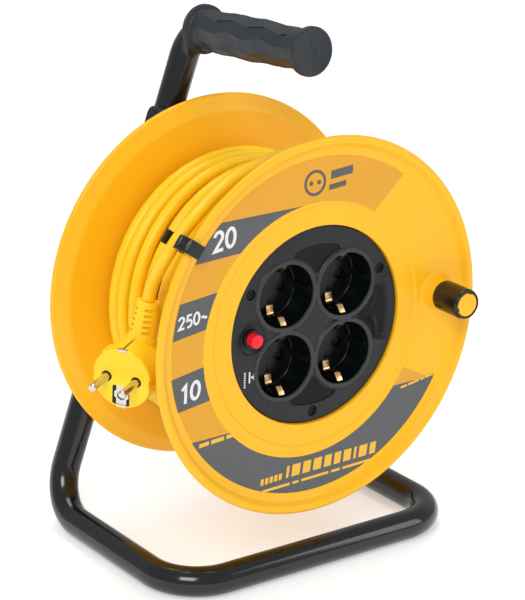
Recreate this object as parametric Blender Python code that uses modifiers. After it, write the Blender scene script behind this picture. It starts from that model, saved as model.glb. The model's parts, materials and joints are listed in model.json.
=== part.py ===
"""Extension cord reel: a cord drum with four earthed sockets that turns on a bent-tube stand.

Frame: +X to the right seen from the socket side, +Y to the back, +Z up, in metres. The floor is z = 0.
The stand is symmetric about x = 0. Drum parts are drawn in the drum's own frame: x to the right, y up,
z along the spindle towards the socket side. Every moving body has an empty on its joint's axis.
"""

import math

import bmesh
import bpy
from mathutils import Matrix, Vector

MM = 0.001

# Drum and cord
FLANGE_RADIUS = 118 * MM
RIM_HALF_WIDTH = 60 * MM
CORE_RADIUS = 58.5 * MM
CORE_WALL = 2.6 * MM
CORE_HALF_LENGTH = 47.2 * MM
CORD_RADIUS = 4 * MM
WINDING_RADIUS = 89 * MM
WINDING_HALF_WIDTH = 46.9 * MM
GAP = 0.3 * MM

# Stand
TUBE_RADIUS = 9.25 * MM
TUBE_WALL = 1.5 * MM
TUBE_SIDES = 12
TUBE_TILT = math.radians(-9.1)  # turns the section so that a flat faces the floor
STAND_HALF_WIDTH = 101.3 * MM
FRONT_RUN_Y = -62.2 * MM
POST_Y = 82 * MM
DRUM_ABOVE_TUBE = 144.6 * MM
HANDLE_ABOVE_DRUM = 155.2 * MM
HANDLE_RISE = math.radians(4.4)
GRIP_REAR_Y = 71 * MM
TUBE_END_Y = -35 * MM
FRONT_BEND = 32 * MM
REAR_BEND = 30 * MM
HANDLE_BEND = 20 * MM
LEG_TOP = 88 * MM
BRACKET_HALF_DEPTH = 13.8 * MM

# Sockets
WELL_RADIUS = 19.75 * MM
WELL_WALL = 1.6 * MM
WELL_DEPTH = 17.5 * MM
WELL_OFFSET = 22.05 * MM
PANEL_RADIUS = 61.8 * MM
PANEL_FACE = 51.8 * MM
PANEL_THICKNESS = 2.2 * MM
PIN_OFFSET = 9.5 * MM
PIN_RADIUS = 2.4 * MM
WELL_FLOOR = PANEL_FACE - WELL_DEPTH
WELL_BACK = WELL_FLOOR - 2 * MM
WELL_CENTRES = [(sx * WELL_OFFSET, sy * WELL_OFFSET) for sx in (-1, 1) for sy in (1, -1)]
PANEL_SCREW_RADIUS = 55.2 * MM
PANEL_SCREW_ANGLES = (30, 150, 270)
DRUM_SCREW_RADIUS = 54.4 * MM
DRUM_SCREW_ANGLES = (45, 135, 225, 315)

# Knob and reset button, in the drum's frame
KNOB_X = 90.9 * MM
KNOB_Y = 5.5 * MM
KNOB_END = 85.3 * MM
BUTTON_X = -46.4 * MM
BUTTON_RADIUS = 4.3 * MM
BUTTON_FACE = 57.6 * MM

# Derived places
TUBE_Z = TUBE_RADIUS * math.cos(math.pi / TUBE_SIDES)
DRUM_Z = TUBE_Z + DRUM_ABOVE_TUBE
BRACKET_REAR = POST_Y + BRACKET_HALF_DEPTH + GAP / 2
DRUM_Y = (KNOB_END - BRACKET_REAR) / 2
LEG_LEAN = STAND_HALF_WIDTH / (DRUM_ABOVE_TUBE + HANDLE_ABOVE_DRUM)

YELLOW = ("moulded_yellow", (0.93, 0.50, 0.02), 0.38, 0.0)
CORD_YELLOW = ("cord_yellow", (0.98, 0.62, 0.01), 0.42, 0.0)
PLUG_YELLOW = ("plug_yellow", (0.98, 0.66, 0.02), 0.40, 0.0)
ANTHRACITE = ("panel_anthracite", (0.035, 0.037, 0.04), 0.45, 0.0)
BLACK = ("moulded_black", (0.012, 0.012, 0.013), 0.45, 0.0)
GRIP_RUBBER = ("grip_rubber", (0.03, 0.034, 0.04), 0.6, 0.0)
FRAME_PAINT = ("frame_paint", (0.01, 0.011, 0.012), 0.22, 0.4)
RED = ("button_red", (0.80, 0.02, 0.03), 0.35, 0.0)
BRASS = ("contact_brass", (0.72, 0.47, 0.18), 0.3, 1.0)
STEEL = ("zinc_steel", (0.62, 0.62, 0.63), 0.35, 1.0)
NYLON = ("bearing_nylon", (0.82, 0.82, 0.78), 0.5, 0.0)
WIRE_BROWN = ("wire_brown", (0.16, 0.06, 0.02), 0.5, 0.0)
WIRE_BLUE = ("wire_blue", (0.03, 0.12, 0.5), 0.5, 0.0)
WIRE_GREEN = ("wire_green", (0.12, 0.4, 0.05), 0.5, 0.0)


# ---------------------------------------------------------------- scene helpers

def clear_scene():
    for thing in list(bpy.data.objects):
        bpy.data.objects.remove(thing, do_unlink=True)


def make_collection(name):
    group = bpy.data.collections.new(name)
    bpy.context.scene.collection.children.link(group)
    return group


def material(spec):
    name, colour, roughness, metallic = spec
    found = bpy.data.materials.get(name)
    if found:
        return found
    made = bpy.data.materials.new(name)
    made.use_nodes = True
    shader = made.node_tree.nodes["Principled BSDF"]
    shader.inputs["Base Color"].default_value = (*colour, 1)
    shader.inputs["Roughness"].default_value = roughness
    shader.inputs["Metallic"].default_value = metallic
    made.diffuse_color = (*colour, 1)
    return made


def body_empty(name, parent, location, rotation=(0, 0, 0)):
    empty = bpy.data.objects.new(name, None)
    bpy.context.scene.collection.objects.link(empty)
    empty.empty_display_size = 0.02
    empty.parent = parent
    empty.location = location
    empty.rotation_euler = rotation
    return empty


def place(name, data, body, spec, location=(0, 0, 0), rotation=(0, 0, 0)):
    """One named part on a body, in its material."""
    part = bpy.data.objects.new(name, data)
    PARTS.objects.link(part)
    part.parent = body
    part.location = location
    part.rotation_euler = rotation
    data.materials.append(material(spec))
    return part


def mesh_from(bm, name, smooth_angle=35):
    data = bpy.data.meshes.new(name)
    bmesh.ops.recalc_face_normals(bm, faces=bm.faces)
    bm.to_mesh(data)
    bm.free()
    data.shade_smooth()
    data.set_sharp_from_angle(angle=math.radians(smooth_angle))
    return data


def cutter(name, bm, body, location=(0, 0, 0), rotation=(0, 0, 0)):
    return cutter_from(mesh_from(bm, name), name, body, location, rotation)


def cutter_from(data, name, body, location=(0, 0, 0), rotation=(0, 0, 0)):
    tool = bpy.data.objects.new(name, data)
    CUTTERS.objects.link(tool)
    tool.parent = body
    tool.location = location
    tool.rotation_euler = rotation
    tool.hide_render = True
    tool.display_type = "WIRE"
    return tool


def combine(part, tool, operation):
    step = part.modifiers.new(tool.name, "BOOLEAN")
    step.operation = operation
    step.solver = "EXACT"
    step.object = tool


def add_box(bm, low, high):
    size = Vector(high) - Vector(low)
    centre = (Vector(high) + Vector(low)) / 2
    move = Matrix.Translation(centre) @ Matrix.Diagonal((*size, 1))
    bmesh.ops.create_cube(bm, size=1, matrix=move)


def add_cylinder(bm, radius, low, high, x=0.0, y=0.0, sides=16, end_radius=None):
    """A cylinder or cone along z, from low to high."""
    bmesh.ops.create_cone(
        bm, cap_ends=True, segments=sides, radius1=radius,
        radius2=radius if end_radius is None else end_radius, depth=high - low,
        matrix=Matrix.Translation((x, y, (low + high) / 2)) @ Matrix.Rotation(math.pi / sides, 4, "Z"))


def polar(radius, degrees):
    angle = math.radians(degrees)
    return radius * math.cos(angle), radius * math.sin(angle)


def millimetres(points):
    return [tuple(value * MM for value in point) for point in points]


def turned(name, profile, body, spec, steps=32, location=(0, 0, 0), rotation=(0, 0, 0)):
    """A solid of revolution about z. The profile is a closed outline of (radius, z) points."""
    area = sum(a[0] * b[1] - b[0] * a[1] for a, b in zip(profile, profile[1:] + profile[:1]))
    ordered = profile if area < 0 else list(reversed(profile))
    data = bpy.data.meshes.new(name)
    count = len(ordered)
    edges = [(i, (i + 1) % count) for i in range(count)
             if ordered[i][0] > 0 or ordered[(i + 1) % count][0] > 0]
    data.from_pydata([(radius, 0, z) for radius, z in ordered], edges, [])
    part = place(name, data, body, spec, location, rotation)
    screw = part.modifiers.new("turn", "SCREW")
    screw.steps = steps
    screw.render_steps = steps
    screw.use_merge_vertices = True
    screw.merge_threshold = 0.00001
    screw.use_smooth_shade = True
    return part


def flat_outline(name, points, half_thickness):
    """A filled 2D curve in the xy plane, extruded both ways along z."""
    curve = bpy.data.curves.new(name, "CURVE")
    curve.dimensions = "2D"
    curve.fill_mode = "BOTH"
    curve.extrude = half_thickness
    spline = curve.splines.new("POLY")
    spline.points.add(len(points) - 1)
    for point, (x, y) in zip(spline.points, points):
        point.co = (x, y, 0, 1)
    spline.use_cyclic_u = True
    return curve


def plate(name, points, thickness, body, spec, location=(0, 0, 0), rotation=(0, 0, 0)):
    """A flat outline made a welded mesh, so that it can be cut."""
    guide = bpy.data.objects.new(name + "_guide", flat_outline(name, points, thickness / 2))
    bpy.context.scene.collection.objects.link(guide)
    return place(name, closed_mesh(guide, name), body, spec, location, rotation)


def closed_mesh(guide, name):
    """The welded mesh of a curve object, which is removed."""
    bpy.context.view_layer.update()
    graph = bpy.context.evaluated_depsgraph_get()
    data = bpy.data.meshes.new_from_object(guide.evaluated_get(graph))
    bm = bmesh.new()
    bm.from_mesh(data)
    bmesh.ops.remove_doubles(bm, verts=bm.verts, dist=0.00001)
    bmesh.ops.recalc_face_normals(bm, faces=bm.faces)
    bm.to_mesh(data)
    bm.free()
    data.name = name
    data.materials.clear()
    data.shade_smooth()
    data.set_sharp_from_angle(angle=math.radians(35))
    bpy.data.objects.remove(guide, do_unlink=True)
    return data


def tube_curve(name, points, radius, resolution, caps=True):
    curve = bpy.data.curves.new(name, "CURVE")
    curve.dimensions = "3D"
    curve.twist_mode = "MINIMUM"
    curve.bevel_depth = radius
    curve.bevel_resolution = resolution
    curve.render_resolution_u = 0
    curve.use_fill_caps = caps
    spline = curve.splines.new("POLY")
    spline.points.add(len(points) - 1)
    for point, place_at in zip(spline.points, points):
        point.co = (*place_at, 1)
    return curve


def wire(name, points, radius, body, spec, resolution=2):
    return place(name, tube_curve(name, points, radius, resolution), body, spec)


def filleted(corners, radii, steps=5):
    """A route of straight runs through the corners, with an arc of the given radius at each."""
    route = [Vector(corners[0])]
    for before, corner, after, radius in zip(corners, corners[1:], corners[2:], radii):
        arrive = (Vector(corner) - Vector(before)).normalized()
        leave = (Vector(after) - Vector(corner)).normalized()
        turn = arrive.angle(leave)
        start = Vector(corner) - arrive * radius * math.tan(turn / 2)
        inward = (leave - arrive * leave.dot(arrive)).normalized()
        centre = start + inward * radius
        for i in range(steps + 1):
            angle = turn * i / steps
            route.append(centre - inward * radius * math.cos(angle) + arrive * radius * math.sin(angle))
    route.append(Vector(corners[-1]))
    return route


def smooth_route(points, spacing):
    """Points about one spacing apart on a Catmull-Rom curve through the given points."""
    guide = [Vector(p) for p in points]
    guide = [guide[0] * 2 - guide[1]] + guide + [guide[-1] * 2 - guide[-2]]
    route = []
    for a, b, c, d in zip(guide, guide[1:], guide[2:], guide[3:]):
        pieces = max(1, round((c - b).length / spacing))
        for i in range(pieces):
            t = i / pieces
            route.append(0.5 * (2 * b + (c - a) * t + (2 * a - 5 * b + 4 * c - d) * t ** 2
                                + (3 * b - a - 3 * c + d) * t ** 3))
    route.append(guide[-2])
    return route


def screw(name, body, spec, x, y, under_head, length, shank, head, sign=1, head_height=1.6 * MM):
    """A pan-head screw along z. Its head sits at under_head, towards +z when sign is 1."""
    outline = [(0, head_height), (head * 0.7, head_height), (head, 0), (shank, 0), (shank, -length), (0, -length)]
    flip = (0, 0, 0) if sign > 0 else (math.pi, 0, 0)
    return turned(name, outline, body, spec, 8, (x, y, under_head), flip)


# ---------------------------------------------------------------- stand

def handle_direction():
    return Vector((0, -math.cos(HANDLE_RISE), math.sin(HANDLE_RISE)))


def handle_point(y):
    """The point of the handle's axis at y, in the stand's frame."""
    corner = Vector((0, POST_Y, DRUM_Z + HANDLE_ABOVE_DRUM))
    return corner + handle_direction() * (POST_Y - y) / math.cos(HANDLE_RISE)


def leg_x(above_drum):
    """Distance of a leg's axis from the middle plane, at a height over the drum's axis."""
    return STAND_HALF_WIDTH - LEG_LEAN * (above_drum + DRUM_ABOVE_TUBE)


def frame_curve(name, corners, bends, radius, caps):
    curve = tube_curve(name, filleted(corners, bends), radius, (TUBE_SIDES - 4) // 2, caps)
    for point in curve.splines[0].points:
        point.tilt = TUBE_TILT
    return curve


def build_frame_tube(body):
    half, low = STAND_HALF_WIDTH, TUBE_Z
    corners = [handle_point(TUBE_END_Y), handle_point(POST_Y), (-half, POST_Y, low), (-half, FRONT_RUN_Y, low),
               (half, FRONT_RUN_Y, low), (half, POST_Y, low), (leg_x(LEG_TOP), POST_Y, DRUM_Z + LEG_TOP)]
    bends = [HANDLE_BEND, REAR_BEND, FRONT_BEND, FRONT_BEND, REAR_BEND]
    tube = place("frame_tube", frame_curve("frame_tube", corners, bends, TUBE_RADIUS, False), body, FRAME_PAINT)
    wall = tube.modifiers.new("wall", "SOLIDIFY")
    wall.thickness = TUBE_WALL
    wall.offset = -1
    return tube


def build_leg_plug(body):
    """The insert in the right leg's open top end."""
    leg = Vector((-LEG_LEAN, 0, 1)).normalized()
    end = Vector((leg_x(LEG_TOP), POST_Y, DRUM_Z + LEG_TOP)) + leg * GAP
    inside = TUBE_RADIUS - TUBE_WALL - 0.5 * MM
    outline = [(0, 2 * MM), (TUBE_RADIUS - MM, 2 * MM), (TUBE_RADIUS - 0.4 * MM, MM), (TUBE_RADIUS - 0.4 * MM, 0),
               (inside, 0), (inside, -12 * MM), (inside - MM, -14 * MM), (0, -14 * MM)]
    turned("leg_end_plug", outline, body, BLACK, 16, end, (0, -math.atan(LEG_LEAN), 0))


def build_grip(body):
    """A rubber sleeve, closed at the front, with a collar behind and a cap disc in front."""
    outline = [(0, 0), (15.2, 0), (15.5, 0.4), (15.5, 3), (12.6, 4.6), (13.2, 24), (13.6, 56), (12.1, 103),
               (12.1, 106.2), (14.8, 108.2), (14.8, 111.6), (13.8, 112.6), (0, 112.6)]
    grip = turned("handle_grip", millimetres(outline), body, GRIP_RUBBER, 24,
                  handle_point(GRIP_REAR_Y), (math.pi / 2 - HANDLE_RISE, 0, 0))
    corners = [handle_point(TUBE_END_Y - GAP), handle_point(POST_Y), (-STAND_HALF_WIDTH, POST_Y, TUBE_Z)]
    bore = frame_curve("grip_bore", corners, [HANDLE_BEND], TUBE_RADIUS + 0.4 * MM, True)
    guide = bpy.data.objects.new("grip_bore_guide", bore)
    bpy.context.scene.collection.objects.link(guide)
    combine(grip, cutter_from(closed_mesh(guide, "grip_bore"), "grip_bore", body), "DIFFERENCE")


def bracket_outline():
    """The front half's outline about the drum's axis, in x and height. It reaches furthest up the handle's leg."""
    top = [(-33.6, 106), (-31.5, 109), (-5, 109), (3, 95), (36.5, 95), (38.7, 91)]
    foot = [(75.5, -18), (74.5, -25), (68, -30)]
    return millimetres(top + foot + [(-x, z) for x, z in reversed(foot)])


def leg_bar(bm, low, high, radius, sides):
    """Two cylinders along the legs between two heights, in the bracket's frame (y up, z to the front)."""
    for side in (-1, 1):
        a = Vector((side * leg_x(low), low, 0))
        b = Vector((side * leg_x(high), high, 0))
        turn = (b - a).to_track_quat("Z", "Y").to_matrix().to_4x4()
        bmesh.ops.create_cone(bm, cap_ends=True, segments=sides, radius1=radius, radius2=radius,
                              depth=(b - a).length, matrix=Matrix.Translation((a + b) / 2) @ turn)


BRACKET_SCREWS = [(0, 76 * MM), (0, 44 * MM), (-34 * MM, -14 * MM), (34 * MM, -14 * MM)]
REAR_HALF_TOP = 86 * MM


def build_bracket_half(body, name, front):
    """One half of the bracket that clamps both legs and holds the spindle. z runs from the legs' plane."""
    sign = 1 if front else -1
    rotation = (math.pi / 2, 0, 0)
    location = (0, POST_Y, DRUM_Z)
    depth = BRACKET_HALF_DEPTH
    middle = (0, POST_Y - sign * (depth + GAP) / 2, DRUM_Z)
    half = plate(name, bracket_outline(), depth, body, BLACK, middle, rotation)
    channels = bmesh.new()
    leg_bar(channels, -60 * MM, 130 * MM, TUBE_RADIUS + 2 * GAP, 12)
    combine(half, cutter(name + "_channels", channels, body, location, rotation), "DIFFERENCE")
    pocket = bmesh.new()
    add_cylinder(pocket, 20.5 * MM, -6.4 * MM, 6.4 * MM, sides=24)
    combine(half, cutter(name + "_pocket", pocket, body, location, rotation), "DIFFERENCE")
    holes = bmesh.new()
    for x, height in BRACKET_SCREWS:
        add_cylinder(holes, 2.5 * MM, -20 * MM, 20 * MM, x, height, 8)
    combine(half, cutter(name + "_holes", holes, body, location, rotation), "DIFFERENCE")
    recesses = bmesh.new()
    near, far = sign * 3 * MM, sign * (depth + 3 * MM)
    if front:
        add_cylinder(recesses, 13.4 * MM, 0, far, sides=24)
    for x, height in BRACKET_SCREWS:
        add_cylinder(recesses, 5 * MM, min(sign * 11 * MM, far), max(sign * 11 * MM, far), x, height, 8)
    combine(half, cutter(name + "_recesses", recesses, body, location, rotation), "DIFFERENCE")
    lightening = bmesh.new()
    for low, high, width in ((54, 67, 9), (-27, -22, 52)):
        add_box(lightening, (-width * MM, low * MM, min(near, far)), (width * MM, high * MM, max(near, far)))
    combine(half, cutter(name + "_lightening", lightening, body, location, rotation), "DIFFERENCE")
    if not front:
        trim = bmesh.new()
        add_box(trim, (-90 * MM, REAR_HALF_TOP, -30 * MM), (90 * MM, 120 * MM, 30 * MM))
        combine(half, cutter(name + "_trim", trim, body, location, rotation), "DIFFERENCE")


def build_bracket(body):
    build_bracket_half(body, "bracket_front", True)
    build_bracket_half(body, "bracket_rear", False)
    guide = body_empty("bracket_screw_axis", body, (0, POST_Y, DRUM_Z), (math.pi / 2, 0, 0))
    for i, (x, height) in enumerate(BRACKET_SCREWS):
        screw(f"bracket_screw_{i + 1}", guide, STEEL, x, height, -11.3 * MM, 19 * MM, 2.1 * MM, 4.4 * MM, -1,
              2.4 * MM)


def build_spindle(body):
    """The fixed axle: a head held between the bracket halves, a shoulder, and a shaft with a ring groove."""
    guide = body_empty("spindle_axis", body, (0, 0, DRUM_Z), (math.pi / 2, 0, 0))
    outline = [(0, -88), (20, -88), (20, -76), (13, -76), (13, -67.8), (16.5, -67.8), (16.5, -57.6), (10, -57.6),
               (10, -6.6), (8.6, -6.6), (8.6, -5.3), (10, -5.3), (10, -4.2), (9.2, -3.4), (0, -3.4)]
    turned("spindle", millimetres(outline), guide, STEEL, 24)
    ring = [(8.9, -6.45), (13.2, -6.45), (13.2, -5.45), (8.9, -5.45)]
    turned("retaining_ring", millimetres(ring), guide, STEEL, 12)


# ---------------------------------------------------------------- drum

def flange_face():
    """The winding side and the rolled rim, shared by both flanges: (radius, outward from the middle)."""
    rim, side = FLANGE_RADIUS / MM, RIM_HALF_WIDTH / MM
    return [(60, 47.5), (66, 50.4), (rim - 10, side - 8.4), (rim - 5, side - 5.6), (rim - 0.8, side - 3.7),
            (rim, side - 2), (rim - 1.7, side), (rim - 3.7, side - 0.4), (rim - 9, side - 5.5)]


def screw_holes(name, body, radius, angles, hole, low, high):
    holes = bmesh.new()
    for degrees in angles:
        add_cylinder(holes, hole, low, high, *polar(radius, degrees), 8)
    return cutter(name, holes, body)


def build_front_flange(drum):
    inner = [(53, 49.2), (53, 47.5)]
    label_seat = [(79.6, 54.5), (78.8, 53.6), (62.3, 53.6), (62.3, 49.2)]
    part = turned("front_flange", millimetres(inner + flange_face() + label_seat), drum, YELLOW, 36)
    combine(part, screw_holes("front_flange_holes", drum, PANEL_SCREW_RADIUS, PANEL_SCREW_ANGLES,
                              1.75 * MM, 46 * MM, 51 * MM), "DIFFERENCE")
    boss = bmesh.new()
    add_cylinder(boss, 11.5 * MM, 52.6 * MM, 62 * MM, KNOB_X, KNOB_Y, 16, 9.4 * MM)
    combine(part, cutter("front_flange_boss", boss, drum), "UNION")
    bore = bmesh.new()
    add_cylinder(bore, 3.3 * MM, 49 * MM, 64 * MM, KNOB_X, KNOB_Y, 8)
    combine(part, cutter("front_flange_bore", bore, drum), "DIFFERENCE")


def build_rear_flange(drum):
    hub = [(13.3, 8), (17.3, 8), (17.3, 47.5)]
    back = [(66, 53.0), (61, 50.3), (24, 50.3), (24, 56.5), (13.3, 56.5)]
    outline = [(radius, -z) for radius, z in hub + flange_face() + back]
    part = turned("rear_flange", millimetres(outline), drum, YELLOW, 36)
    combine(part, screw_holes("rear_flange_holes", drum, DRUM_SCREW_RADIUS, DRUM_SCREW_ANGLES,
                              1.75 * MM, -52 * MM, -46 * MM), "DIFFERENCE")
    for i, degrees in enumerate(DRUM_SCREW_ANGLES):
        screw(f"drum_screw_{i + 1}", drum, STEEL, *polar(DRUM_SCREW_RADIUS, degrees), -50.6 * MM, 11 * MM,
              1.45 * MM, 3.2 * MM, -1)
    bush = [(10.15, -8.2), (13.05, -8.2), (13.05, -56.3), (10.15, -56.3)]
    turned("spindle_bush", millimetres(bush), drum, NYLON, 24)
    washer = [(10.7, -6.9), (16.5, -6.9), (16.5, -7.7), (10.7, -7.7)]
    turned("thrust_washer", millimetres(washer), drum, STEEL, 12)


LEAD_HOLE_Z = 5 * MM


def build_core(drum):
    """The winding barrel, with screw bosses inside both ends and the hole where the cord goes in."""
    inner = CORE_RADIUS - CORE_WALL
    outline = [(inner, -CORE_HALF_LENGTH), (CORE_RADIUS, -CORE_HALF_LENGTH), (CORE_RADIUS, CORE_HALF_LENGTH),
               (inner, CORE_HALF_LENGTH)]
    part = turned("drum_core", outline, drum, BLACK, 36)
    bosses = bmesh.new()
    for degrees in PANEL_SCREW_ANGLES:
        add_cylinder(bosses, 3 * MM, 33 * MM, CORE_HALF_LENGTH - 0.05 * MM, *polar(PANEL_SCREW_RADIUS, degrees), 8)
    for degrees in DRUM_SCREW_ANGLES:
        add_cylinder(bosses, 3.2 * MM, 0.05 * MM - CORE_HALF_LENGTH, -33 * MM, *polar(DRUM_SCREW_RADIUS, degrees), 8)
    combine(part, cutter("core_bosses", bosses, drum), "UNION")
    holes = bmesh.new()
    for degrees in PANEL_SCREW_ANGLES:
        add_cylinder(holes, 1.9 * MM, 35 * MM, 50 * MM, *polar(PANEL_SCREW_RADIUS, degrees), 6)
    for degrees in DRUM_SCREW_ANGLES:
        add_cylinder(holes, 2 * MM, -50 * MM, -35 * MM, *polar(DRUM_SCREW_RADIUS, degrees), 6)
    combine(part, cutter("core_screw_holes", holes, drum), "DIFFERENCE")
    entry = bmesh.new()
    add_cylinder(entry, CORD_RADIUS + GAP, 50 * MM, 64 * MM, sides=12)
    combine(part, cutter("cord_entry", entry, drum, (0, 0, LEAD_HOLE_Z), (math.pi / 2, 0, 0)), "DIFFERENCE")


def build_socket_panel(drum):
    """The round panel with four socket wells, each with two pin holes and two earth clip slots."""
    back = PANEL_FACE - PANEL_THICKNESS
    outline = [(0, PANEL_FACE), (PANEL_RADIUS - 0.8 * MM, PANEL_FACE), (PANEL_RADIUS, PANEL_FACE - 0.8 * MM),
               (PANEL_RADIUS, back), (0, back)]
    panel = turned("socket_panel", outline, drum, ANTHRACITE, 36)
    cups = bmesh.new()
    for x, y in WELL_CENTRES:
        add_cylinder(cups, WELL_RADIUS + WELL_WALL, WELL_BACK, PANEL_FACE - 0.6 * MM, x, y, 20)
    combine(panel, cutter("well_cups", cups, drum), "UNION")
    wells = bmesh.new()
    for x, y in WELL_CENTRES:
        add_cylinder(wells, WELL_RADIUS, WELL_FLOOR, PANEL_FACE + 5 * MM, x, y, 20)
    combine(panel, cutter("well_hollows", wells, drum), "DIFFERENCE")
    holes = bmesh.new()
    for x, y in WELL_CENTRES:
        for side in (-1, 1):
            add_cylinder(holes, PIN_RADIUS + 0.4 * MM, WELL_BACK - 2 * MM, WELL_FLOOR + 2 * MM,
                         x + side * PIN_OFFSET, y, 8)
            edge = sorted((y + side * 17.4 * MM, y + side * 19.5 * MM))
            add_box(holes, (x - 3.4 * MM, edge[0], WELL_BACK - 2 * MM), (x + 3.4 * MM, edge[1], WELL_FLOOR + 2 * MM))
    for degrees in PANEL_SCREW_ANGLES:
        add_cylinder(holes, 1.75 * MM, back - 2 * MM, PANEL_FACE + 2 * MM, *polar(PANEL_SCREW_RADIUS, degrees), 8)
    add_cylinder(holes, BUTTON_RADIUS + 1.9 * MM, back - 2 * MM, PANEL_FACE + 2 * MM, BUTTON_X, 0, 16)
    combine(panel, cutter("panel_holes", holes, drum), "DIFFERENCE")
    sinks = bmesh.new()
    for degrees in PANEL_SCREW_ANGLES:
        add_cylinder(sinks, 3.2 * MM, PANEL_FACE - 1.2 * MM, PANEL_FACE + 2 * MM,
                     *polar(PANEL_SCREW_RADIUS, degrees), 8)
    combine(panel, cutter("panel_sinks", sinks, drum), "DIFFERENCE")
    for i, degrees in enumerate(PANEL_SCREW_ANGLES):
        screw(f"panel_screw_{i + 1}", drum, STEEL, *polar(PANEL_SCREW_RADIUS, degrees), PANEL_FACE - 0.9 * MM,
              14 * MM, 1.35 * MM, 2.9 * MM, 1, 0.8 * MM)


def build_earth_strip(drum, name, x):
    """A sprung brass comb: a bar behind one column of wells, with a prong up each clip slot."""
    low, high, half = 28.8, 29.8, 0.4
    outline = []
    for centre in (WELL_OFFSET / MM, -WELL_OFFSET / MM):
        for side in (1, -1):
            root = centre + side * 18.7
            prong = [(root + half * side, high), (root + half * side, 43.0), (root - 0.9 * side, 47.5),
                     (root - 1.7 * side, 47.5), (root - 3.0 * side, 43.5), (root - half * side, 39.5),
                     (root - half * side, high)]
            outline += prong if side > 0 else prong[::-1]
    outline[0] = (outline[0][0], low)
    outline[-1] = (outline[-1][0], low)
    plate(name, millimetres(outline), 5.6 * MM, drum, BRASS, (x, 0, 0), (math.pi / 2, 0, math.pi / 2))


def build_busbar(drum, name, columns, link):
    """A flat brass bar behind two columns of pin holes, joined by a link, with a sleeve for each pin."""
    low, high = 12.9 * MM, 13.9 * MM
    half = 3 * MM
    far = link * 36 * MM
    near = -link * 27 * MM
    inner = link * 30 * MM
    left, right = columns
    outline = [(left - half, near), (left + half, near), (left + half, inner), (right - half, inner),
               (right - half, near), (right + half, near), (right + half, far), (left - half, far)]
    if link < 0:
        outline.reverse()
    part = plate(name, outline, high - low, drum, BRASS, (0, 0, (low + high) / 2))
    sleeves = bmesh.new()
    bores = bmesh.new()
    for x in columns:
        for y in (WELL_OFFSET, -WELL_OFFSET):
            add_cylinder(sleeves, 3.5 * MM, low + 0.1 * MM, 28 * MM, x, y, 8)
            add_cylinder(bores, 2.55 * MM, 14.4 * MM, 30 * MM, x, y, 8)
    combine(part, cutter(name + "_sleeves", sleeves, drum), "UNION")
    combine(part, cutter(name + "_bores", bores, drum), "DIFFERENCE")


CLAMP_Y = -41 * MM
CLAMP_POST_X = 7.4 * MM
CARRIER_SCREW_Y = 33 * MM


def build_contact_carrier(drum):
    """The insulating plate behind the wells: it holds the pin sleeves, and the cord clamp's posts."""
    low, high = 16.5 * MM, 19.5 * MM
    carrier = turned("contact_carrier", [(0, high), (46 * MM, high), (46 * MM, low), (0, low)], drum, BLACK, 24)
    posts = bmesh.new()
    for side in (-1, 1):
        add_cylinder(posts, 2.6 * MM, 1.1 * MM, low + MM, side * CLAMP_POST_X, CLAMP_Y, 8)
    add_box(posts, (-3.6 * MM, CLAMP_Y - 3.5 * MM, 9.3 * MM), (3.6 * MM, CLAMP_Y + 3.5 * MM, low + MM))
    add_cylinder(posts, 3 * MM, high - MM, WELL_BACK - GAP, 0, CARRIER_SCREW_Y, 8)
    add_cylinder(posts, 3 * MM, high - MM, WELL_BACK - GAP, 0, -CARRIER_SCREW_Y, 8)
    combine(carrier, cutter("carrier_posts", posts, drum), "UNION")
    holes = bmesh.new()
    for x, y in WELL_CENTRES:
        for side in (-1, 1):
            add_cylinder(holes, 3.9 * MM, low - MM, high + MM, x + side * PIN_OFFSET, y, 8)
    add_cylinder(holes, 3 * MM, low - MM, high + MM, 0, 0, 8)
    for side in (-1, 1):
        add_cylinder(holes, 1.5 * MM, 0, low - 0.5 * MM, side * CLAMP_POST_X, CLAMP_Y, 6)
        add_cylinder(holes, 1.6 * MM, low - MM, 40 * MM, 0, side * CARRIER_SCREW_Y, 8)
    add_box(holes, (-60 * MM, -12 * MM, low - MM), (-38.5 * MM, 12 * MM, high + MM))
    combine(carrier, cutter("carrier_holes", holes, drum), "DIFFERENCE")
    for i, side in enumerate((1, -1)):
        screw(f"carrier_screw_{i + 1}", drum, STEEL, 0, side * CARRIER_SCREW_Y, 16.2 * MM, 14 * MM, 1.35 * MM,
              2.6 * MM, -1)


def build_thermal_cutout(drum):
    """The cut-out's case behind the panel, its guide neck, and the opening that its button runs in."""
    neck = BUTTON_RADIUS + 1.5 * MM
    case = bmesh.new()
    add_box(case, (-51.6 * MM, -9.4 * MM, 24 * MM), (-40.3 * MM, 9.4 * MM, 49 * MM))
    part = place("thermal_cutout", mesh_from(case, "thermal_cutout"), drum, BLACK)
    guide = bmesh.new()
    add_cylinder(guide, neck, 48 * MM, PANEL_FACE + 0.6 * MM, BUTTON_X, 0, 16)
    combine(part, cutter("cutout_neck", guide, drum), "UNION")
    bore = bmesh.new()
    add_cylinder(bore, BUTTON_RADIUS + 0.25 * MM, 40 * MM, 60 * MM, BUTTON_X, 0, 16)
    combine(part, cutter("cutout_bore", bore, drum), "DIFFERENCE")


def build_reset_button(button):
    """The push button, drawn in its own frame: z = 0 is its face at rest."""
    reach = 14.5 * MM
    outline = [(0, 0), (BUTTON_RADIUS - 0.7 * MM, 0), (BUTTON_RADIUS, -0.7 * MM), (BUTTON_RADIUS, -reach),
               (0, -reach)]
    turned("reset_button", outline, button, RED, 16)


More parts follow.
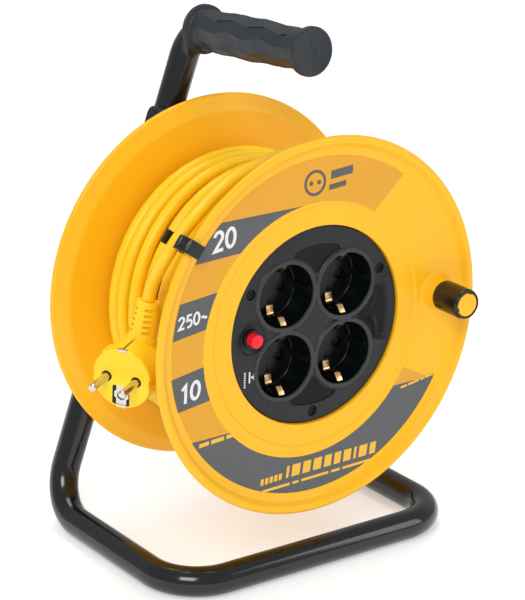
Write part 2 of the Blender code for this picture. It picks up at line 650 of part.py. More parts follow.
def build_lead_and_wires(drum):
    """The cord's inner end: through the barrel's wall, under its clamp, then three wires to the contacts."""
    inner_end = -25 * MM
    straight = [(0, y, LEAD_HOLE_Z) for y in (-CORE_RADIUS + 0.1 * MM, CLAMP_Y, inner_end)]
    wire("inner_lead", straight, CORD_RADIUS, drum, CORD_YELLOW)
    strap = bmesh.new()
    add_box(strap, (-10.5 * MM, CLAMP_Y - 3.5 * MM, -1.2 * MM), (10.5 * MM, CLAMP_Y + 3.5 * MM, 0.7 * MM))
    part = place("cord_clamp", mesh_from(strap, "cord_clamp"), drum, BLACK)
    holes = bmesh.new()
    for side in (-1, 1):
        add_cylinder(holes, 1.7 * MM, -3 * MM, 3 * MM, side * CLAMP_POST_X, CLAMP_Y, 8)
        screw(f"clamp_screw_{(side + 3) // 2}", drum, STEEL, side * CLAMP_POST_X, CLAMP_Y, -1.5 * MM, 10 * MM,
              1.15 * MM, 2.6 * MM, -1)
    combine(part, cutter("cord_clamp_holes", holes, drum), "DIFFERENCE")
    start = inner_end + 2 * GAP
    routes = {
        "wire_live": (WIRE_BROWN, [(-2, 0, 5), (-2.5, 5, 5), (-6, 12, 6), (-24, 22, 7), (-40, 20, 12), (-46, 20, 19),
                                   (-46, 20, 23.4)]),
        "wire_neutral": (WIRE_BLUE, [(2, 0, 5), (2.2, 4, 5), (7, 7, 6), (12, 1, 8), (13, -7, 11), (13, -8, 12.4)]),
        "wire_earth": (WIRE_GREEN, [(0, 0, 6.6), (0, 9, 7), (0, 20, 9), (0, 25, 14), (0, 25, 20), (0, 25, 27.1)]),
    }
    for name, (spec, offsets) in routes.items():
        points = [(x * MM, start + y * MM, z * MM) for x, y, z in offsets]
        wire(name, smooth_route(points, 5 * MM), 1.1 * MM, drum, spec)
    jumper = [(-47, 5, 23.4), (-47, 6, 18), (-44, 10, 12), (-38, 14, 8.5), (-33, 15, 8.4), (-31.5, 15, 10),
              (-31.5, 15, 12.4)]
    wire("wire_cutout", smooth_route(millimetres(jumper), 5 * MM), 1.1 * MM, drum, WIRE_BROWN)
    link = bmesh.new()
    add_box(link, (-25 * MM, -3 * MM, 27.5 * MM), (25 * MM, 3 * MM, 28.5 * MM))
    place("earth_link", mesh_from(link, "earth_link"), drum, BRASS)


def build_knob(drum, knob):
    """The winding knob: a pin through the flange's boss, a sleeve that turns on it, and a snap cap."""
    pin = [(0, 48.6), (5.5, 48.6), (5.5, 50.2), (2.9, 50.2), (2.9, 84.2), (0, 84.2)]
    turned("knob_pin", millimetres(pin), drum, STEEL, 12, (KNOB_X, KNOB_Y, 0))
    sleeve = [(3.3, 62.6), (9.2, 62.6), (9.6, 64), (9.6, 83), (8.4, 85.0), (6.7, 85.0), (6.7, 80.0), (3.3, 80.0)]
    turned("knob_sleeve", millimetres(sleeve), knob, BLACK, 20)
    cap = [(3.2, 80.4), (6.2, 80.4), (6.2, 85.3), (0, 85.3), (0, 84.5), (3.2, 84.5)]
    turned("knob_cap", millimetres(cap), drum, YELLOW, 12, (KNOB_X, KNOB_Y, 0))


CLIP_ANGLE = 145
CLIP_WIDTH = 8.5 * MM


def build_cord_clip(drum):
    """The clip that hooks over the front rim and cradles the cord's end. Outline in radius and z."""
    outline = [(110.2, 60.5), (110.2, 62.4), (120.2, 62.4), (121.8, 60.8), (121.8, 54.2), (122.6, 53.4),
               (121.8, 52.6), (117.8, 46.8), (118.0, 45.6), (116.8, 45.1), (110.0, 45.1), (107.9, 43.9),
               (107.9, 35.1), (110.0, 33.9), (117.6, 33.9), (117.6, 32.1), (107.8, 32.1), (105.9, 33.7),
               (105.9, 45.8), (107.8, 47.4), (114.6, 47.6), (118.4, 53.2), (118.4, 54.2), (114.6, 52.0),
               (113.6, 53.4), (118.5, 56.2), (118.5, 60.3)]
    turn = math.radians(CLIP_ANGLE)
    plate("cord_clip", millimetres(outline), CLIP_WIDTH, drum, BLACK, (0, 0, 0),
          (Matrix.Rotation(turn, 3, "Z") @ Matrix(((1, 0, 0), (0, 0, -1), (0, 1, 0)))).to_euler())


# ---------------------------------------------------------------- cord and plug

# The cord's free end in the drum's frame: (angle in degrees, radius in mm, z in mm), from the winding to the plug.
TAIL_ROUTE = [(80, 93.5, 6), (91, 93.6, 10), (102, 95.0, 15.5), (114, 98.4, 22), (125, 101.8, 27.5),
              (135, 107.4, 35.0), (140.5, 111.6, 38.9), (145, 113.4, 39.6), (148.2, 112.2, 38.1), (151.5, 109.2, 31.5),
              (154.7, 105.4, 24.2), (158.3, 101.2, 18.3), (162.3, 97.9, 15.0), (165.3, 97.2, 14.1), (166.9, 97.1, 14.2)]

# The plug: the middle of its face, and its own axes (right, up, out of the face), in the drum's frame.
PLUG_FACE = Vector((-120.2, -18.5, 25)) * MM
PLUG_OUT = Vector((-0.857, -0.069, 0.511)).normalized()
PLUG_UP = Vector((-0.032, 0.996, 0.081))
BOOT_LENGTH = 22.2 * MM
BOOT_TOP_RADIUS = 6.8 * MM
BOOT_BASE_RADIUS = 8.5 * MM


def plug_frame(drum):
    """An empty at the middle of the plug's face: x right, y up, z out of the face."""
    right = PLUG_UP.cross(PLUG_OUT).normalized()
    up = PLUG_OUT.cross(right)
    axes = Matrix((right, up, PLUG_OUT)).transposed()
    return body_empty("plug_axes", drum, PLUG_FACE, axes.to_euler())


def build_tail_and_boot(drum):
    points = [Vector((*polar(radius * MM, degrees), z * MM)) for degrees, radius, z in TAIL_ROUTE]
    route = smooth_route(points, 10 * MM)
    wire("cord_tail", route, CORD_RADIUS, drum, CORD_YELLOW, 3)
    top = route[-1]
    away = (top - route[-2]).normalized()
    outline = [(0, GAP), (BOOT_TOP_RADIUS, GAP), (BOOT_BASE_RADIUS, BOOT_LENGTH), (0, BOOT_LENGTH)]
    turned("plug_boot", outline, drum, PLUG_YELLOW, 16, top, away.to_track_quat("Z", "Y").to_euler())


def build_plug(drum, axes):
    """The plug's body: a round face, a waisted grip behind it, and a shoulder under the boot."""
    outline = [(0, 0), (18.7, 0), (18.7, -17), (16.8, -24), (12.6, -29), (8, -30.4), (0, -30.4)]
    body = turned("plug_body", millimetres(outline), axes, PLUG_YELLOW, 24)
    cuts = bmesh.new()
    add_box(cuts, (-3 * MM, 17.2 * MM, -16 * MM), (3 * MM, 21 * MM, MM))
    add_box(cuts, (-3 * MM, -21 * MM, -16 * MM), (3 * MM, -17.2 * MM, MM))
    add_box(cuts, (-4.6 * MM, -16.4 * MM, -9.5 * MM), (4.6 * MM, -5.4 * MM, MM))
    for side in (-1, 1):
        add_cylinder(cuts, PIN_RADIUS + 0.5 * MM, -12 * MM, MM, side * PIN_OFFSET, 0, 10)
    combine(body, cutter("plug_cuts", cuts, axes), "DIFFERENCE")
    for side, name in ((-1, "plug_pin_left"), (1, "plug_pin_right")):
        pin = [(0, 19), (1.6, 18.6), (2.4, 16.8), (2.4, -11.7), (0, -11.7)]
        turned(name, millimetres(pin), axes, STEEL, 10, (side * PIN_OFFSET, 0, 0))
    for name, low, high in (("plug_earth_top", 17.5, 18.6), ("plug_earth_bottom", -18.6, -17.5)):
        strip = bmesh.new()
        add_box(strip, (-2.6 * MM, low * MM, -15.6 * MM), (2.6 * MM, high * MM, -0.4 * MM))
        place(name, mesh_from(strip, name), axes, STEEL)
    insert = bmesh.new()
    add_box(insert, (-4.3 * MM, -16.1 * MM, -9.2 * MM), (4.3 * MM, -5.7 * MM, -0.8 * MM))
    part = place("plug_earth_socket", mesh_from(insert, "plug_earth_socket"), axes, STEEL)
    bore = bmesh.new()
    add_cylinder(bore, 2.45 * MM, -8 * MM, MM, 0, -10 * MM, 12)
    combine(part, cutter("plug_earth_bore", bore, axes), "DIFFERENCE")


def build_winding(drum):
    inner = CORE_RADIUS + GAP
    outline = [(inner, -WINDING_HALF_WIDTH), (WINDING_RADIUS, -WINDING_HALF_WIDTH),
               (WINDING_RADIUS, WINDING_HALF_WIDTH), (inner, WINDING_HALF_WIDTH)]
    turned("cord_winding", outline, drum, CORD_YELLOW, 36)


# ---------------------------------------------------------------- assembly

clear_scene()
PARTS = make_collection("extension_cord_reel")
CUTTERS = make_collection("cutters")


def main():
    stand = body_empty("stand", None, (0, DRUM_Y, 0))
    drum = body_empty("drum", None, (0, DRUM_Y, DRUM_Z), (math.pi / 2, 0, 0))
    knob = body_empty("knob", drum, (KNOB_X, KNOB_Y, 0))
    button = body_empty("button", drum, (BUTTON_X, 0, BUTTON_FACE))
    build_frame_tube(stand)
    build_leg_plug(stand)
    build_grip(stand)
    build_bracket(stand)
    build_spindle(stand)
    build_front_flange(drum)
    build_rear_flange(drum)
    build_core(drum)
    build_socket_panel(drum)
    for name, x in (("earth_strip_left", -WELL_OFFSET), ("earth_strip_right", WELL_OFFSET)):
        build_earth_strip(drum, name, x)
    inner, outer = WELL_OFFSET - PIN_OFFSET, WELL_OFFSET + PIN_OFFSET
    build_busbar(drum, "live_busbar", (-outer, inner), 1)
    build_busbar(drum, "neutral_busbar", (-inner, outer), -1)
    build_contact_carrier(drum)
    build_thermal_cutout(drum)
    build_reset_button(button)
    build_lead_and_wires(drum)
    build_knob(drum, knob)
    build_cord_clip(drum)
    build_winding(drum)
    build_tail_and_boot(drum)
    build_plug(drum, plug_frame(drum))


main()
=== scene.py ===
import json
import math

import bmesh
import bpy
import numpy as np
from mathutils import Matrix, Vector


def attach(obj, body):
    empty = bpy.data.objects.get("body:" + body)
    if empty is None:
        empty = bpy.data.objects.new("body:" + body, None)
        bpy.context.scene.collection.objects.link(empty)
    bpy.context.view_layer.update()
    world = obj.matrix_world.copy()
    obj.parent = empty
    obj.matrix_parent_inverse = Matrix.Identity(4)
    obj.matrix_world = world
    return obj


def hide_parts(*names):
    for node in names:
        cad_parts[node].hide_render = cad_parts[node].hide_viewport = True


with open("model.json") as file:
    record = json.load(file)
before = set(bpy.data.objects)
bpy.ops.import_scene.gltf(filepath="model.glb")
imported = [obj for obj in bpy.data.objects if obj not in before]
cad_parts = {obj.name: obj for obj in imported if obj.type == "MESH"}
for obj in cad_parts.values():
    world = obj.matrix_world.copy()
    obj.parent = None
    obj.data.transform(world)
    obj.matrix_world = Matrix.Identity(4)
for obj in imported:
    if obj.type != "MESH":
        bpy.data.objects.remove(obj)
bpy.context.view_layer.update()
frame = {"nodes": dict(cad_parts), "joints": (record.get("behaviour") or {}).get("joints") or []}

MM = 0.001
SCALE = Matrix.Scale(MM, 4)
JOINTS = {joint["name"]: joint for joint in frame["joints"]}
HUB = Vector(JOINTS["drum_spin"]["pos_m"])
UPRIGHT = Matrix.Rotation(math.pi / 2, 4, "X")
DRUM = Matrix.Translation(HUB) @ UPRIGHT @ SCALE
STAND = Matrix.Translation((0, HUB.y, 0)) @ SCALE
# Stands an outline of (radius, z) up along a radius of the drum
SECTION = Matrix(((1, 0, 0, 0), (0, 0, 1, 0), (0, 1, 0, 0), (0, 0, 0, 1)))

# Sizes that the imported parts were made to
WELL_PITCH = 44.1
WELL_RADIUS = 19.6
WELL_FLOOR = 34.3
PANEL_RADIUS = 61.8
PANEL_FACE = 51.8
PANEL_SCREWS = [(55.2, angle) for angle in (30, 150, 270)]
DRUM_SCREWS = [(54.4, angle) for angle in (45, 135, 225, 315)]
LABEL_FACE = 54.5
KNOB_X, KNOB_Y = 90.9, 5.5
BUTTON_X = -46.4
BUTTON_FACE = 57.6
CORD_RADIUS = 4.0
TUBE_RADIUS = 9.25
POST_Y = 82
HUB_HEIGHT = HUB.z / MM
BRACKET_DEPTH = 13.8
BRACKET_SCREWS = [(0, 76), (0, 44), (-34, -14), (34, -14)]
BRACKET_REAR_TOP = 86
WELL_CENTRES = [(sx * WELL_PITCH / 2, sy * WELL_PITCH / 2) for sx in (-1, 1) for sy in (1, -1)]


# --- Geometry helpers

def shift(x=0, y=0, z=0):
    return Matrix.Translation((x, y, z))


def spin(degrees):
    return Matrix.Rotation(math.radians(degrees), 4, "Z")


def polar(radius, degrees):
    """The x and y of a point at a radius and an angle."""
    angle = math.radians(degrees)
    return radius * math.cos(angle), radius * math.sin(angle)


def arc(radius, start, end, steps, centre=(0, 0)):
    """Points on an arc from one angle to the other, in degrees."""
    points = []
    for i in range(steps + 1):
        x, y = polar(radius, start + (end - start) * i / steps)
        points.append((centre[0] + x, centre[1] + y))
    return points


def rounded(points, steps=4):
    """A closed outline whose corners (x, y, radius) are rounded."""
    outline = []
    count = len(points)
    for i, point in enumerate(points):
        here = Vector(point[:2])
        radius = point[2] if len(point) > 2 else 0
        if not radius:
            outline.append(tuple(here))
            continue
        before = Vector(points[i - 1][:2]) - here
        after = Vector(points[(i + 1) % count][:2]) - here
        half = before.angle(after) / 2
        reach = min(radius / math.tan(half), 0.48 * before.length, 0.48 * after.length)
        radius = reach * math.tan(half)
        centre = here + (before.normalized() + after.normalized()).normalized() * radius / math.sin(half)
        first = here + before.normalized() * reach - centre
        last = here + after.normalized() * reach - centre
        start = math.atan2(first.y, first.x)
        sweep = (math.atan2(last.y, last.x) - start + math.pi) % (2 * math.pi) - math.pi
        for k in range(steps + 1):
            angle = start + sweep * k / steps
            outline.append((centre.x + radius * math.cos(angle), centre.y + radius * math.sin(angle)))
    return outline


def smooth_path(points, spacing):
    """Points about one spacing apart on a Catmull-Rom curve through the given points."""
    guide = [Vector(p) for p in points]
    guide = [guide[0] * 2 - guide[1]] + guide + [guide[-1] * 2 - guide[-2]]
    route = []
    for a, b, c, d in zip(guide, guide[1:], guide[2:], guide[3:]):
        pieces = max(1, round((c - b).length / spacing))
        for i in range(pieces):
            t = i / pieces
            route.append(0.5 * (2 * b + (c - a) * t + (2 * a - 5 * b + 4 * c - d) * t ** 2
                                + (3 * b - a - 3 * c + d) * t ** 3))
    route.append(guide[-2])
    return route


def show(name, data):
    """An object of the data, in the scene."""
    made = bpy.data.objects.new(name, data)
    bpy.context.scene.collection.objects.link(made)
    return made


def finish_mesh(bm, name, place, sharp=35):
    """An object from a bmesh in a piece's own frame, put in place with its faces outwards."""
    bmesh.ops.recalc_face_normals(bm, faces=bm.faces)
    data = bpy.data.meshes.new(name)
    bm.to_mesh(data)
    bm.free()
    data.transform(place)
    if place.determinant() < 0:
        data.flip_normals()
    data.shade_smooth()
    data.set_sharp_from_angle(angle=math.radians(sharp))
    return show(name, data)


def bridge(bm, a, b):
    """Faces between two closed rings of vertices. A ring of one vertex is a point."""
    count = max(len(a), len(b))
    for i in range(count if count > 1 else 0):
        j = (i + 1) % count
        corners = [a[i % len(a)], a[j % len(a)], b[j % len(b)], b[i % len(b)]]
        bm.faces.new(list(dict.fromkeys(corners)))


def lathe(name, profile, place, steps=96, sharp=35):
    """A turned solid about z. The profile is a closed outline of (radius, z)."""
    bm = bmesh.new()
    rings = []
    for radius, z in profile:
        if radius < 1e-6:
            rings.append([bm.verts.new((0, 0, z))])
        else:
            rings.append([bm.verts.new((*polar(radius, 360 * i / steps), z)) for i in range(steps)])
    for a, b in zip(rings, rings[1:] + rings[:1]):
        bridge(bm, a, b)
    return finish_mesh(bm, name, place, sharp)


def slab(name, outline, low, high, place, sharp=35):
    """A flat outline made solid between two heights."""
    bm = bmesh.new()
    bottom = [bm.verts.new((x, y, low)) for x, y in outline]
    top = [bm.verts.new((x, y, high)) for x, y in outline]
    bm.faces.new(bottom)
    bm.faces.new(top)
    bridge(bm, bottom, top)
    return finish_mesh(bm, name, place, sharp)


def disc(name, radius, low, high, place, steps=40):
    return lathe(name, [(0, low), (radius, low), (radius, high), (0, high)], place, steps)


def rectangle(left, low, right, high, radius=0):
    return rounded([(left, low, radius), (right, low, radius), (right, high, radius), (left, high, radius)])


def box(name, low, high, place):
    return slab(name, rectangle(low[0], low[1], high[0], high[1]), low[2], high[2], place)


def settle(piece, sharp):
    """Applies the piece's modifiers and marks its sharp edges."""
    bpy.context.view_layer.update()
    graph = bpy.context.evaluated_depsgraph_get()
    data = bpy.data.meshes.new_from_object(piece.evaluated_get(graph))
    old = piece.data
    piece.modifiers.clear()
    piece.data = data
    bpy.data.meshes.remove(old)
    data.shade_smooth()
    data.set_sharp_from_angle(angle=math.radians(sharp))


def carve(piece, tools, operation="DIFFERENCE", sharp=35):
    """Cuts the tools out of the piece, or joins them to it."""
    for tool in tools:
        step = piece.modifiers.new("carve", "BOOLEAN")
        step.operation = operation
        step.solver = "EXACT"
        step.object = tool
    settle(piece, sharp)
    for tool in tools:
        bpy.data.objects.remove(tool, do_unlink=True)


def unite(pieces, name):
    """Makes one solid of several that meet."""
    carve(pieces[0], pieces[1:], "UNION")
    pieces[0].name = name
    return pieces[0]


def soften(piece, width, segments):
    """Rounds the piece's edges by a width in millimetres."""
    step = piece.modifiers.new("soften", "BEVEL")
    step.width = width * MM
    step.segments = segments
    step.limit_method = "ANGLE"
    step.angle_limit = math.radians(30)
    settle(piece, 35)


def dress(piece, material, body, slot, *nodes):
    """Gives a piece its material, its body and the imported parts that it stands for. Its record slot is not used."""
    piece.data.materials.clear()
    piece.data.materials.append(material)
    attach(piece, body)
    if nodes:
        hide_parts(*nodes)
    return piece


# --- Materials

def surface(name, colour, roughness, metallic=0.0, grain=0.15, grain_size=0.5, tone=0.05, tone_size=25.0,
            gloss_change=0.06, coat=0.0, coat_roughness=0.1, specular=0.5):
    """A Principled material with a fine grain, slow changes of tone and uneven gloss. Sizes are in millimetres."""
    made = bpy.data.materials.new(name)
    made.use_nodes = True
    tree = made.node_tree
    shader = tree.nodes["Principled BSDF"]
    shader.inputs["Metallic"].default_value = metallic
    shader.inputs["Specular IOR Level"].default_value = specular
    shader.inputs["Coat Weight"].default_value = coat
    shader.inputs["Coat Roughness"].default_value = coat_roughness
    place = tree.nodes.new("ShaderNodeTexCoord")

    def noise(size, detail):
        node = tree.nodes.new("ShaderNodeTexNoise")
        node.inputs["Scale"].default_value = 1 / (size * MM)
        node.inputs["Detail"].default_value = detail
        tree.links.new(place.outputs["Object"], node.inputs["Vector"])
        return node.outputs["Fac"]

    mix = tree.nodes.new("ShaderNodeMix")
    mix.data_type = "RGBA"
    mix.inputs["A"].default_value = (*[c * (1 - tone) for c in colour], 1)
    mix.inputs["B"].default_value = (*[min(1, c * (1 + tone)) for c in colour], 1)
    tree.links.new(noise(tone_size, 4), mix.inputs["Factor"])
    tree.links.new(mix.outputs["Result"], shader.inputs["Base Color"])
    gloss = tree.nodes.new("ShaderNodeMapRange")
    gloss.inputs["From Min"].default_value = 0.3
    gloss.inputs["From Max"].default_value = 0.7
    gloss.inputs["To Min"].default_value = max(0.02, roughness - gloss_change)
    gloss.inputs["To Max"].default_value = roughness + gloss_change
    tree.links.new(noise(tone_size / 4, 5), gloss.inputs["Value"])
    tree.links.new(gloss.outputs["Result"], shader.inputs["Roughness"])
    bump = tree.nodes.new("ShaderNodeBump")
    bump.inputs["Strength"].default_value = grain
    bump.inputs["Distance"].default_value = 0.1 * MM
    tree.links.new(noise(grain_size, 3), bump.inputs["Height"])
    tree.links.new(bump.outputs["Normal"], shader.inputs["Normal"])
    return made


YELLOW = surface("flange_yellow", (0.96, 0.49, 0.008), 0.36, grain=0.10, grain_size=0.9, tone=0.03,
    tone_size=60, specular=0.35)
FILM = surface("label_film", (0.74, 0.345, 0.016), 0.24, grain=0.0, grain_size=3, tone=0.04, tone_size=40,
    specular=0.35)
CORD = surface("cord_sheath", (1.0, 0.60, 0.006), 0.36, grain=0.25, grain_size=0.8, tone=0.04, tone_size=40,
    specular=0.45)
PLUG = surface("plug_moulding", (1.0, 0.66, 0.012), 0.42, grain=0.22, grain_size=0.6, tone=0.04,
    tone_size=15, specular=0.4)
ANTHRACITE = surface("panel_face", (0.014, 0.015, 0.017), 0.42, grain=0.4, grain_size=0.35, tone=0.10,
    specular=0.3)
RIM_EDGE = surface("panel_rim", (0.017, 0.018, 0.020), 0.34, grain=0.2, grain_size=0.35, tone=0.10,
    specular=0.45)
PANEL_GRAIN = surface("panel_recess", (0.007, 0.007, 0.0065), 0.70, grain=1.0, grain_size=0.45, tone=0.25,
    tone_size=3, specular=0.22)
WELL_BLACK = surface("well_gloss", (0.003, 0.0045, 0.005), 0.18, grain=0.06, grain_size=0.8, tone=0.2,
    specular=0.25)
BLACK = surface("black_moulding", (0.009, 0.009, 0.010), 0.42, grain=0.4, grain_size=0.4, tone=0.15,
    specular=0.3)
CLIP_BLACK = surface("clip_black", (0.008, 0.008, 0.009), 0.34, grain=0.15, grain_size=0.5, tone=0.12,
    specular=0.4)
GRIP = surface("grip_rubber", (0.021, 0.025, 0.030), 0.44, grain=0.5, grain_size=0.3, tone=0.12,
    tone_size=12, specular=0.35)
FRAME = surface("frame_paint", (0.004, 0.005, 0.0065), 0.16, grain=0.12, grain_size=2.5, tone=0.15,
    tone_size=20, gloss_change=0.03, specular=0.5, coat=0.15, coat_roughness=0.08)
KNOB = surface("knob_shell", (0.013, 0.009, 0.006), 0.26, grain=0.12, grain_size=0.6, tone=0.15, tone_size=8,
    specular=0.45)
RED = surface("button_red", (0.85, 0.012, 0.028), 0.32, grain=0.08, grain_size=0.5, tone=0.04, tone_size=4,
    specular=0.35)
BRASS = surface("contact_brass", (0.86, 0.55, 0.26), 0.22, metallic=1.0, grain=0.3, grain_size=0.8,
    tone=0.12, tone_size=3, gloss_change=0.08)
STEEL = surface("zinc_plate", (0.62, 0.63, 0.65), 0.28, metallic=1.0, grain=0.2, grain_size=0.5, tone=0.08,
    tone_size=4)
DARK_STEEL = surface("screw_black", (0.016, 0.016, 0.018), 0.45, metallic=0.5, grain=0.3, grain_size=0.4,
    tone=0.2, tone_size=2, specular=0.3)
NICKEL = surface("pin_nickel", (0.66, 0.63, 0.58), 0.24, metallic=1.0, grain=0.12, grain_size=0.4, tone=0.05,
    tone_size=3)
SHUTTER = surface("shutter_maroon", (0.035, 0.006, 0.005), 0.5, tone=0.1, tone_size=2, specular=0.2)
LABEL_GREY = surface("label_grey", (0.088, 0.094, 0.098), 0.30, grain=0.0, grain_size=2, tone=0.06,
    tone_size=30, specular=0.4)
PRINT_WHITE = surface("print_white", (0.78, 0.74, 0.74), 0.32, grain=0.0, grain_size=1, tone=0.02)
PRINT_YELLOW = surface("print_yellow", (0.86, 0.47, 0.02), 0.32, grain=0.0, grain_size=1, tone=0.02)
PRINT_DARK = surface("print_dark", (0.085, 0.085, 0.082), 0.30, grain=0.0, grain_size=1, tone=0.04)
NYLON = surface("bearing_nylon", (0.78, 0.77, 0.70), 0.45, tone=0.03)
BROWN = surface("wire_brown", (0.14, 0.05, 0.02), 0.4, tone=0.05)
BLUE = surface("wire_blue", (0.02, 0.09, 0.42), 0.4, tone=0.05)
GREEN = surface("wire_green", (0.10, 0.36, 0.04), 0.4, tone=0.3, tone_size=6)


# --- Camera, light and floor

CAMERA_AZIMUTH = math.radians(-36.39)
CAMERA_ELEVATION = math.radians(19.33)
CAMERA_ROLL = math.radians(1.452)
CAMERA_FROM_HUB = Vector((-0.82503, -1.11770, 0.48764))
CAMERA_LENS = 143.857


def make_camera():
    """The camera, from the front left and a little above."""
    data = bpy.data.cameras.new("camera")
    data.lens = CAMERA_LENS
    data.sensor_width = 36
    data.dof.use_dof = False
    camera = show("camera", data)
    camera.matrix_world = (Matrix.Translation(HUB + CAMERA_FROM_HUB)
                           @ Matrix.Rotation(CAMERA_AZIMUTH, 4, "Z")
                           @ Matrix.Rotation(math.pi / 2 - CAMERA_ELEVATION, 4, "X")
                           @ Matrix.Rotation(CAMERA_ROLL, 4, "Z"))
    bpy.context.scene.camera = camera


def softbox(name, place, aim, size, power):
    """A soft rectangular light, aimed at a point. All in metres and watts."""
    data = bpy.data.lights.new(name, "AREA")
    data.shape = "RECTANGLE"
    data.size, data.size_y = size
    data.energy = power
    light = show(name, data)
    light.location = place
    light.rotation_euler = (Vector(aim) - Vector(place)).to_track_quat("-Z", "Y").to_euler()


def make_studio():
    """A plain pale floor and soft light from three sides."""
    floor = show("floor", bpy.data.meshes.new("floor"))
    bm = bmesh.new()
    bmesh.ops.create_grid(bm, x_segments=1, y_segments=1, size=14)
    bm.to_mesh(floor.data)
    bm.free()
    floor.location.z = -0.0005
    paper = surface("floor_paper", (0.80, 0.80, 0.80), 0.7, grain=0.0, tone=0.005, tone_size=400, specular=0.1)
    paper.node_tree.nodes["Principled BSDF"].inputs["Emission Color"].default_value = (1, 1, 1, 1)
    paper.node_tree.nodes["Principled BSDF"].inputs["Emission Strength"].default_value = 0.42
    floor.data.materials.append(paper)
    world = bpy.data.worlds.new("studio")
    world.use_nodes = True
    world.node_tree.nodes["Background"].inputs["Color"].default_value = (0.95, 0.97, 1.0, 1)
    world.node_tree.nodes["Background"].inputs["Strength"].default_value = 0.50
    bpy.context.scene.world = world
    bpy.context.scene.view_settings.view_transform = "Standard"
    softbox("key", (-1.5, -1.3, 1.7), (0, 0, 0.15), (1.0, 1.0), 27)
    softbox("top", (0.2, 0.5, 2.1), (0, 0, 0.1), (1.1, 1.1), 14)
    softbox("fill", (1.6, -1.6, 1.0), (0, 0, 0.15), (0.7, 1.3), 8)


# --- Cord

LAYER_RADIUS = 62.7
LAYER_STEP = 7.2
NEAR_FLANGE = 42.2
PITCH = 8.0
TAIL_ROUTE = [(80, 93.5, 6), (91, 93.6, 10), (102, 95.0, 15.5), (114, 98.4, 22), (125, 102.2, 28.3),
              (133, 107.4, 35.2), (138.5, 110.5, 38.1), (143, 112.1, 38.9), (147.2, 111.9, 37.3), (151, 109.8, 33.4),
              (154.7, 106.3, 27.7), (158.3, 102.2, 21.3), (162.1, 98.7, 16.3), (165.3, 97.3, 14.3), (166.9, 97.1, 14.2)]
TAIL_SPACING = 2.5
ENTRY_ANGLE = -90
ENTRY_Z = 5
SAMPLES_PER_TURN = 48
CLIMB_TURNS = 0.2


def winding_knots():
    """The winding as (turns since the last knot, z, layer): five passes between the flanges."""
    half = (ENTRY_Z + NEAR_FLANGE) / PITCH
    rest = 2 * NEAR_FLANGE / PITCH - half
    rear, front = -NEAR_FLANGE, NEAR_FLANGE
    passes = [(0, ENTRY_Z, 0), (half, rear, 0), (1, rear, 1), (half, ENTRY_Z, 1), (1, ENTRY_Z + PITCH, 0),
              (rest - 1, front, 0), (1, front, 1), (rest - 0.5, ENTRY_Z + PITCH / 2, 1),
              (1, ENTRY_Z - PITCH / 2, 2), (half - 0.5, rear, 2), (1, rear, 3)]
    outer_rear = [(1, -34.0, 3), (1, -25.6, 3), (1, -11.0, 3), (1, ENTRY_Z - 1.5, 3), (1, ENTRY_Z + PITCH - 2.0, 2.1),
                  (1, 22.0, 2.1), (1, 31.0, 2.2), (1, front, 3)]
    outer_front = [(1, 33.0, 3), (1, 23.0, 3), (1, 14.8, 3)]
    return passes + outer_rear + outer_front


def tail_points():
    """The free end's route, given as (degrees, radius, z), in the drum's frame."""
    return [Vector((*polar(radius, degrees), z)) for degrees, radius, z in TAIL_ROUTE]


def cord_points():
    """The cord's centreline: every turn, then the free end."""
    knots = winding_knots()
    end_turn = (TAIL_ROUTE[0][0] - ENTRY_ANGLE) / 360
    turns = sum(k[0] for k in knots) + CLIMB_TURNS
    spare = (end_turn - turns) % 1
    spare -= 1 if spare > 0.5 else 0
    stretch = 1 + spare / (turns - CLIMB_TURNS)
    at, zs, radii = [], [], []
    turn = 0
    for step, z, layer in knots:
        turn += step * stretch
        at.append(turn)
        zs.append(z)
        radii.append(LAYER_RADIUS + LAYER_STEP * layer)
    at.append(turn + CLIMB_TURNS)
    zs.append(TAIL_ROUTE[0][2] - 0.6)
    radii.append(TAIL_ROUTE[0][1] - 0.2)
    count = round(at[-1] * SAMPLES_PER_TURN)
    samples = np.linspace(0, at[-1] - 0.012, count)
    z = np.interp(samples, at, zs)
    radius = np.interp(samples, at, radii)
    # Changes of layer and pitch are spread over a third of a turn
    kernel = np.hanning(15)
    kernel /= kernel.sum()
    radius, z = (np.convolve(np.pad(line, 7, mode="edge"), kernel, mode="valid") for line in (radius, z))
    angle = math.radians(ENTRY_ANGLE) + 2 * math.pi * samples
    # The outer layer's turns wander a little, most in the middle between the flanges
    slack = 1 - (np.abs(z) / 44) ** 2
    outer = np.clip((radius - LAYER_RADIUS - 2.2 * LAYER_STEP) / LAYER_STEP, 0, 1)
    z = z + outer * slack * (1.7 * np.cos(angle - math.radians(205)) + 0.5 * np.sin(2 * angle + 0.6 * samples))
    radius = radius + outer * 0.25 * np.sin(2.3 * angle)
    route = [(r * math.cos(a), r * math.sin(a), h) for r, a, h in zip(radius, angle, z)]
    joined = [Vector(p) for p in route[:-2]] + smooth_path([route[-2], *tail_points()], TAIL_SPACING)[1:]
    return [DRUM @ Vector(p) for p in joined]


def sweep(name, points, radius, resolution):
    """A round section along a line of points."""
    curve = bpy.data.curves.new(name, "CURVE")
    curve.dimensions = "3D"
    curve.twist_mode = "MINIMUM"
    curve.bevel_depth = radius * MM
    curve.bevel_resolution = resolution
    spline = curve.splines.new("POLY")
    spline.points.add(len(points) - 1)
    for point, place in zip(spline.points, points):
        point.co = (*place, 1)
    return show(name, curve)


def make_cord():
    points = cord_points()
    cord = sweep("cord", points, CORD_RADIUS, 6)
    cord.data.use_fill_caps = True
    dress(cord, CORD, "drum", "cord_yellow", "cord_winding", "cord_tail")
    return cord, points


# --- Stand

